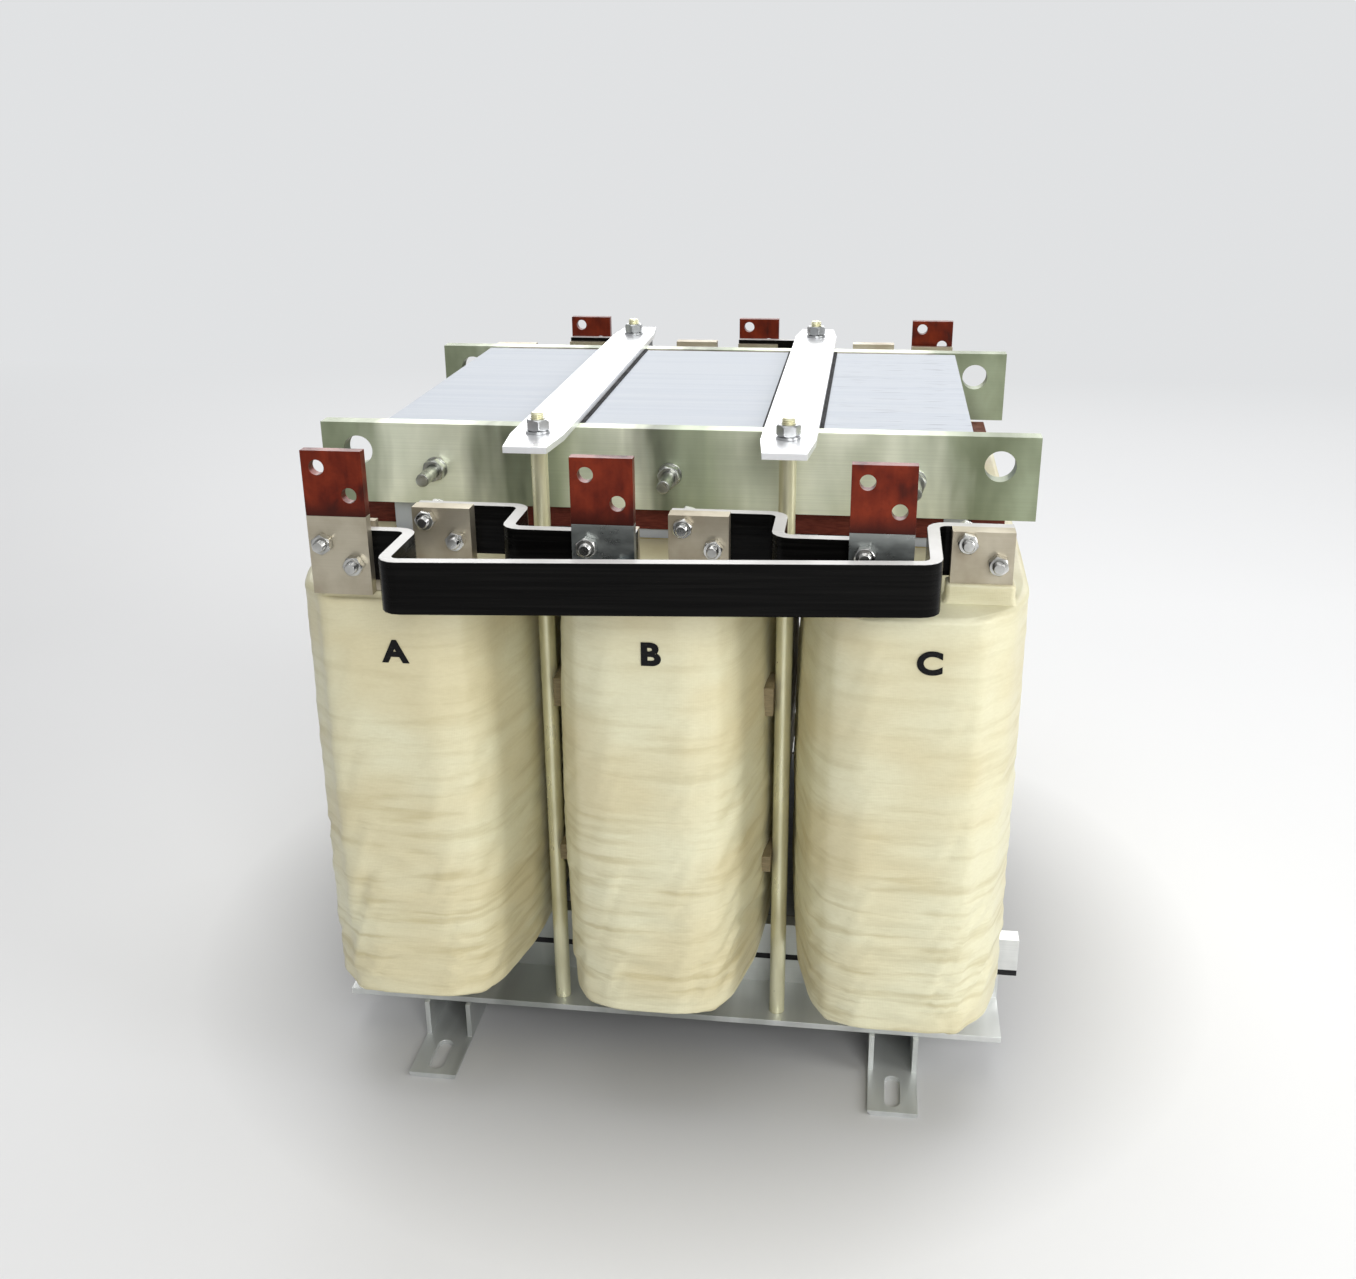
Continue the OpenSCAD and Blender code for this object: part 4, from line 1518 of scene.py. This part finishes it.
@dataclass
class Straps:
    """Cross straps, tie rods and their nuts and washers."""

    ease: float = 0.0009
    rod_ease: float = 0.0006
    thread_r: float = 0.005

    def build(self) -> None:
        """Models and dresses the straps, the rods and their fasteners."""
        bright = MetalFinish(pale=(0.95, 0.955, 0.965), deep=(0.80, 0.81, 0.82), stain=(0.05, 0.05, 0.05),
                             grain=(0.0008, 0.06, 0.03), metallic=0.55).material("bright_strap_steel")
        yellow = MetalFinish(pale=(0.86, 0.84, 0.60), deep=(0.64, 0.61, 0.40), stain=(0.012, 0.012, 0.06),
                             grain=(0.0006, 0.0006, 0.04), metallic=0.55).material("yellow_zinc_rod")
        steel = MetalFinish(pale=(0.64, 0.65, 0.66), deep=(0.36, 0.37, 0.37)).material("plated_fastener_steel")
        for side in ("left", "right"):
            keep(eased(f"strap_{side}", self.ease), bright, Slot.STRAP, f"strap_{side}")
        rods = islands("tie_rods")
        spots = [Matrix.Translation(((a.x + b.x) / 2, (a.y + b.y) / 2, 0)) for a, b in rods]
        keep(copies(self._rod(*rods[0]), spots, "tie_rods_turned"), yellow, Slot.ROD, "tie_rods")
        self._nuts(steel)

    def _rod(self, low: Vector, high: Vector) -> bpy.types.Object:
        """One rod on the Z axis, with a thinner threaded end.

        Args:
            low: Lowest corner of the rod's box.
            high: Its highest corner.

        Returns:
            The rod.
        """
        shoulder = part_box("strap_left")[1].z - 0.0005
        leave_alone()
        bpy.ops.mesh.primitive_cylinder_add(vertices=32, radius=(high.x - low.x) / 2, depth=shoulder - low.z,
                                            location=(0, 0, (shoulder + low.z) / 2))
        shaft = settle(bpy.context.object, Matrix.Identity(4))
        with at_work(shaft, "FACE"):
            pick(shaft, "faces", lambda c, n: abs(n.z) > 0.9)
            bpy.ops.mesh.bevel(offset=self.rod_ease, segments=2)
        smooth(shaft)
        end = Thread(self.thread_r, shoulder - 0.004, high.z, shoulder - 0.003, sides=24).build()
        return merged([shaft, end], "rod")

    def _nuts(self, steel: bpy.types.Material) -> None:
        """The nuts and washers on the straps.

        Args:
            steel: Their finish.
        """
        for node in ("tie_rod_nuts", "tie_rod_washers"):
            boxes = islands(node)
            low, high = boxes[0]
            model = nut_or_washer(node, high.y - low.y, high.z - low.z)
            spots = []
            for i, (a, b) in enumerate(boxes):
                turn = Matrix.Rotation(math.radians(17 + 41 * i if "nut" in node else 0), 4, "Z")
                spots.append(Matrix.Translation(((a.x + b.x) / 2, (a.y + b.y) / 2, a.z)) @ turn)
            keep(copies(model, spots, f"{node}_turned"), steel, Slot.FASTENER, node)


@dataclass
class YokeBolts:
    """The bolts through clamps and yokes, with their nuts and washers."""

    plain: float = 0.72

    def build(self) -> None:
        """Models and dresses the bolts, nuts and washers."""
        steel = MetalFinish((0.60, 0.61, 0.58), (0.30, 0.31, 0.28), roughness=0.26).material("plated_bolt_steel")
        parts = []
        for low, high in islands("yoke_bolts"):
            length, radius = high.y - low.y, (high.x - low.x) / 2
            tail = length * (1 - self.plain)
            root = Vector(((low.x + high.x) / 2, low.y, (low.z + high.z) / 2))
            ahead = Thread(radius, 0, length, length * self.plain).build()
            parts.append(settle(ahead, upright(root, 1)))
            behind = Thread(radius, 0, tail, 0).build()
            parts.append(settle(behind, upright(root + Vector((0, tail - 0.0002, 0)), -1)))
        keep(merged(parts, "yoke_bolts_threaded"), steel, Slot.FASTENER, "yoke_bolts")
        for node in ("yoke_bolt_nuts", "yoke_bolt_washers"):
            boxes = islands(node)
            low, high = boxes[0]
            model = nut_or_washer(node, high.z - low.z, high.y - low.y)
            spots = [upright(*outwards(*box), 11 + 37 * i) for i, box in enumerate(boxes)]
            keep(copies(model, spots, f"{node}_turned"), steel, Slot.FASTENER, node)


@dataclass
class Terminals:
    """Copper and aluminium terminals, lead bars, their bolts and the black links."""

    ease: float = 0.0006
    link_ease: float = 0.0014
    link_below_leads: float = 0.0045
    pitch: float = 0.00125
    bolt_r: float = 0.004
    across: float = 0.012
    nut_high: float = 0.0064
    washer_r: float = 0.007
    washer_thick: float = 0.0016

    def build(self) -> None:
        """Models and dresses the terminals, leads, links and bolts."""
        copper = CopperFinish().material("darkened_copper")
        grey = MetalFinish(pale=(0.52, 0.475, 0.37), deep=(0.37, 0.32, 0.235), stain=(0.03, 0.03, 0.03),
                           grain=(0.03, 0.03, 0.0006), roughness=0.36, metallic=0.75
                           ).material("lead_aluminium_rolled")
        painted_reflection_lead = PaintedReflectionFinish().material("lead_aluminium_shaded")
        sleeve = SleeveFinish().material("black_shrunk_sleeve")
        for end in End:
            side = end.name.lower()
            for phase in Phase:
                letter = phase.name.lower()
                node = f"terminal_copper_{letter}_{side}"
                keep(eased(node, self.ease), copper, Slot.COPPER, node)
                node = f"terminal_alum_{letter}_{side}"
                # Phases B and C take the painted reflection of the black links below them
                finish = grey if phase is Phase.A else painted_reflection_lead
                keep(eased(node, self.ease), finish, Slot.LEAD, node)
            for pair in ("ab", "bc", "ca"):
                node = f"link_{pair}_{side}"
                bar = eased(node, self.link_ease, 4, 40)
                if end is End.REAR and pair != "ca":
                    self._heighten(bar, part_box("inner_leads")[1].z - self.link_below_leads)
                keep(bar, sleeve, Slot.LINK, node)
        for node in ("outer_leads", "inner_leads"):
            keep(eased(node, self.ease), grey, Slot.LEAD, node)
        self._bolts()

    @staticmethod
    def _heighten(bar: bpy.types.Object, top: float) -> None:
        """Raises a bar's upper edge.

        Args:
            bar: The bar.
            top: The new height of its upper edge.
        """
        heights = [v.co.z for v in bar.data.vertices]
        lift, middle = top - max(heights), (max(heights) + min(heights)) / 2
        for vertex in bar.data.vertices:
            if vertex.co.z > middle:
                vertex.co.z += lift

    def _bolts(self) -> None:
        """The terminal bolts, with their nuts and washers."""
        steel = MetalFinish((0.74, 0.74, 0.72), (0.42, 0.42, 0.40), roughness=0.26).material("bright_bolt_steel")
        models: dict[float, bpy.types.Object] = {}
        parts = []
        for i, (low, high) in enumerate(islands("terminal_bolts")):
            length = round(high.y - low.y, 6)
            if length not in models:
                models[length] = self._bolt(length)
            parts.append(twin(models[length], upright(*outwards(low, high), 29 * i)))
        for model in models.values():
            bpy.data.objects.remove(model)
        keep(merged(parts, "terminal_bolts_threaded"), steel, Slot.FASTENER, "terminal_bolts")
        nuts, washers = [], []
        for i, (low, high) in enumerate(islands("terminal_nuts")):
            spots = nuts if high.y - low.y > 2 * self.washer_thick else washers
            spots.append(upright(*outwards(low, high), 13 + 43 * i))
        nut = HexPiece(self.across, self.nut_high, 2 * self.bolt_r + 0.0002).build()
        washer = Washer(self.washer_r, 2 * self.bolt_r + 0.0003, self.washer_thick).build()
        pair = [copies(nut, nuts, "nuts"), copies(washer, washers, "washers")]
        keep(merged(pair, "terminal_nuts_turned"), steel, Slot.FASTENER, "terminal_nuts")

    def _bolt(self, length: float) -> bpy.types.Object:
        """One terminal bolt on the Z axis, from its head up.

        Args:
            length: Its length, with the head.

        Returns:
            The bolt.
        """
        head = HexPiece(self.across, self.nut_high).build()
        shank = Thread(self.bolt_r, self.nut_high - 0.0004, length, length * 0.55, self.pitch, 16, 0.0009).build()
        return merged([head, shank], "bolt")


@dataclass(frozen=True)
class Lamp:
    """One soft box, with its power in watts."""

    name: str
    place: Triple
    aim: Triple
    size: Point
    power: float

    def hang(self) -> None:
        """Hangs the lamp at its place, facing its aim."""
        light = bpy.data.lights.new(self.name, "AREA")
        light.shape, light.energy = "RECTANGLE", self.power
        light.size, light.size_y = self.size
        lamp = bpy.data.objects.new(self.name, light)
        bpy.context.scene.collection.objects.link(lamp)
        lamp.location = self.place
        lamp.rotation_euler = (Vector(self.aim) - Vector(self.place)).to_track_quat("-Z", "Y").to_euler()


@dataclass
class Studio:
    """Floor, backdrop, lamps and the camera at the photograph's angle."""

    place: Triple = (0.1430, -1.1521, 0.7351)
    yaw: float = -7.984
    pitch: float = 21.638
    roll: float = 0.529
    lens: float = 37.70
    paper: float = 7.0
    curve: float = 3.0
    room: Colour = (0.92, 0.93, 0.95)
    room_strength: float = 0.38
    lamps: tuple[Lamp, ...] = (
        Lamp("rear_box", (0.1, 3.0, 2.0), (0, 0, 0.35), (4.2, 1.7), 62),
        Lamp("overhead_box", (0.0, -0.1, 2.6), (0, 0, 0.3), (2.0, 1.6), 18),
        Lamp("front_box", (0.95, -2.6, 1.5), (0, 0, 0.25), (1.3, 1.3), 40),
        Lamp("right_box", (2.6, -0.9, 1.2), (0.1, 0, 0.25), (1.2, 1.4), 32))

    def build(self) -> None:
        """Sets up the camera, the paper sweep and the light."""
        self._camera()
        self._sweep()
        for lamp in self.lamps:
            lamp.hang()
        self._room()
        bpy.context.scene.view_settings.view_transform = "Standard"

    def _camera(self) -> None:
        """The camera, from its place and its three turns."""
        yaw, pitch, roll = (math.radians(a) for a in (self.yaw, self.pitch, self.roll))
        ahead = Vector((math.sin(yaw) * math.cos(pitch), math.cos(yaw) * math.cos(pitch), -math.sin(pitch)))
        right = Vector((math.cos(yaw), -math.sin(yaw), 0))
        down = ahead.cross(right)
        across = math.cos(roll) * right + math.sin(roll) * down
        below = math.cos(roll) * down - math.sin(roll) * right
        lens = bpy.data.cameras.new("camera")
        lens.lens, lens.sensor_width, lens.sensor_fit = self.lens, 36.0, "HORIZONTAL"
        lens.clip_start, lens.clip_end = 0.02, 60
        camera = bpy.data.objects.new("camera", lens)
        bpy.context.scene.collection.objects.link(camera)
        turn = Matrix((across, -below, -ahead)).transposed().to_4x4()
        camera.matrix_world = Matrix.Translation(self.place) @ turn
        bpy.context.scene.camera = camera

    def _sweep(self) -> None:
        """The paper: a floor that curves up into a backdrop."""
        leave_alone()
        bpy.ops.mesh.primitive_plane_add(size=2 * self.paper, location=(0, 0, 0))
        paper = settle(bpy.context.object, Matrix.Identity(4))
        back = self.paper - 0.1
        with at_work(paper, "EDGE"):
            pick(paper, "edges", lambda m, d: m.y > back)
            pull(self.paper)
            pick(paper, "edges", lambda m, d: m.y > back and abs(m.z) < 1e-6)
            bpy.ops.mesh.bevel(offset=self.curve, segments=24)
        take(paper)
        bpy.ops.object.shade_smooth()
        paper.name = "paper_sweep"
        paper.data.materials.append(StageFinish().material("studio_paper"))

    def _room(self) -> None:
        """An even pale room all round."""
        world = bpy.data.worlds.new("pale_room")
        world.use_nodes = True
        background = world.node_tree.nodes["Background"]
        background.inputs["Color"].default_value = (*self.room, 1)
        background.inputs["Strength"].default_value = self.room_strength
        bpy.context.scene.world = world


def lead_sleeves() -> dict[Phase, list[tuple[Vector, Vector]]]:
    """The boxes of the taped collars, round the root of each lead bar.

    Returns:
        The boxes of each coil's collars.
    """
    found: dict[Phase, list[tuple[Vector, Vector]]] = {phase: [] for phase in Phase}
    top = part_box("top_coil_blocks")[0].z
    for node, wall, height in (("inner_leads", 0.0025, 0.013), ("outer_leads", 0.001, 0.004)):
        for low, high in islands(node):
            phase = Phase(round((low.x + high.x) / 2 / COIL_PITCH))
            found[phase].append((Vector((low.x - wall, low.y - wall, top - 0.001)),
                                 Vector((high.x + wall, high.y + wall, top + height))))
    return found


def main() -> None:
    """Builds the studio and every sub-assembly."""
    logging.basicConfig(level=logging.INFO, format="%(name)s: %(message)s")
    Studio().build()
    Core().build()
    Clamps().build()
    Straps().build()
    YokeBolts().build()
    Terminals().build()
    tape = TapeFinish().material("varnished_cotton_tape")
    ink = InkFinish().material("stencil_ink")
    collars = lead_sleeves()
    letters = {Phase.A: (-0.169, 0.3767), Phase.B: (0.0055, 0.3827), Phase.C: (0.186, 0.3849)}
    for phase in Phase:
        draw_in = 0.002 if phase is Phase.A else 0.0
        Coil(phase, tape, ink, letters[phase], draw_in, collars[phase]).build()


if __name__ == "__main__":
    main()
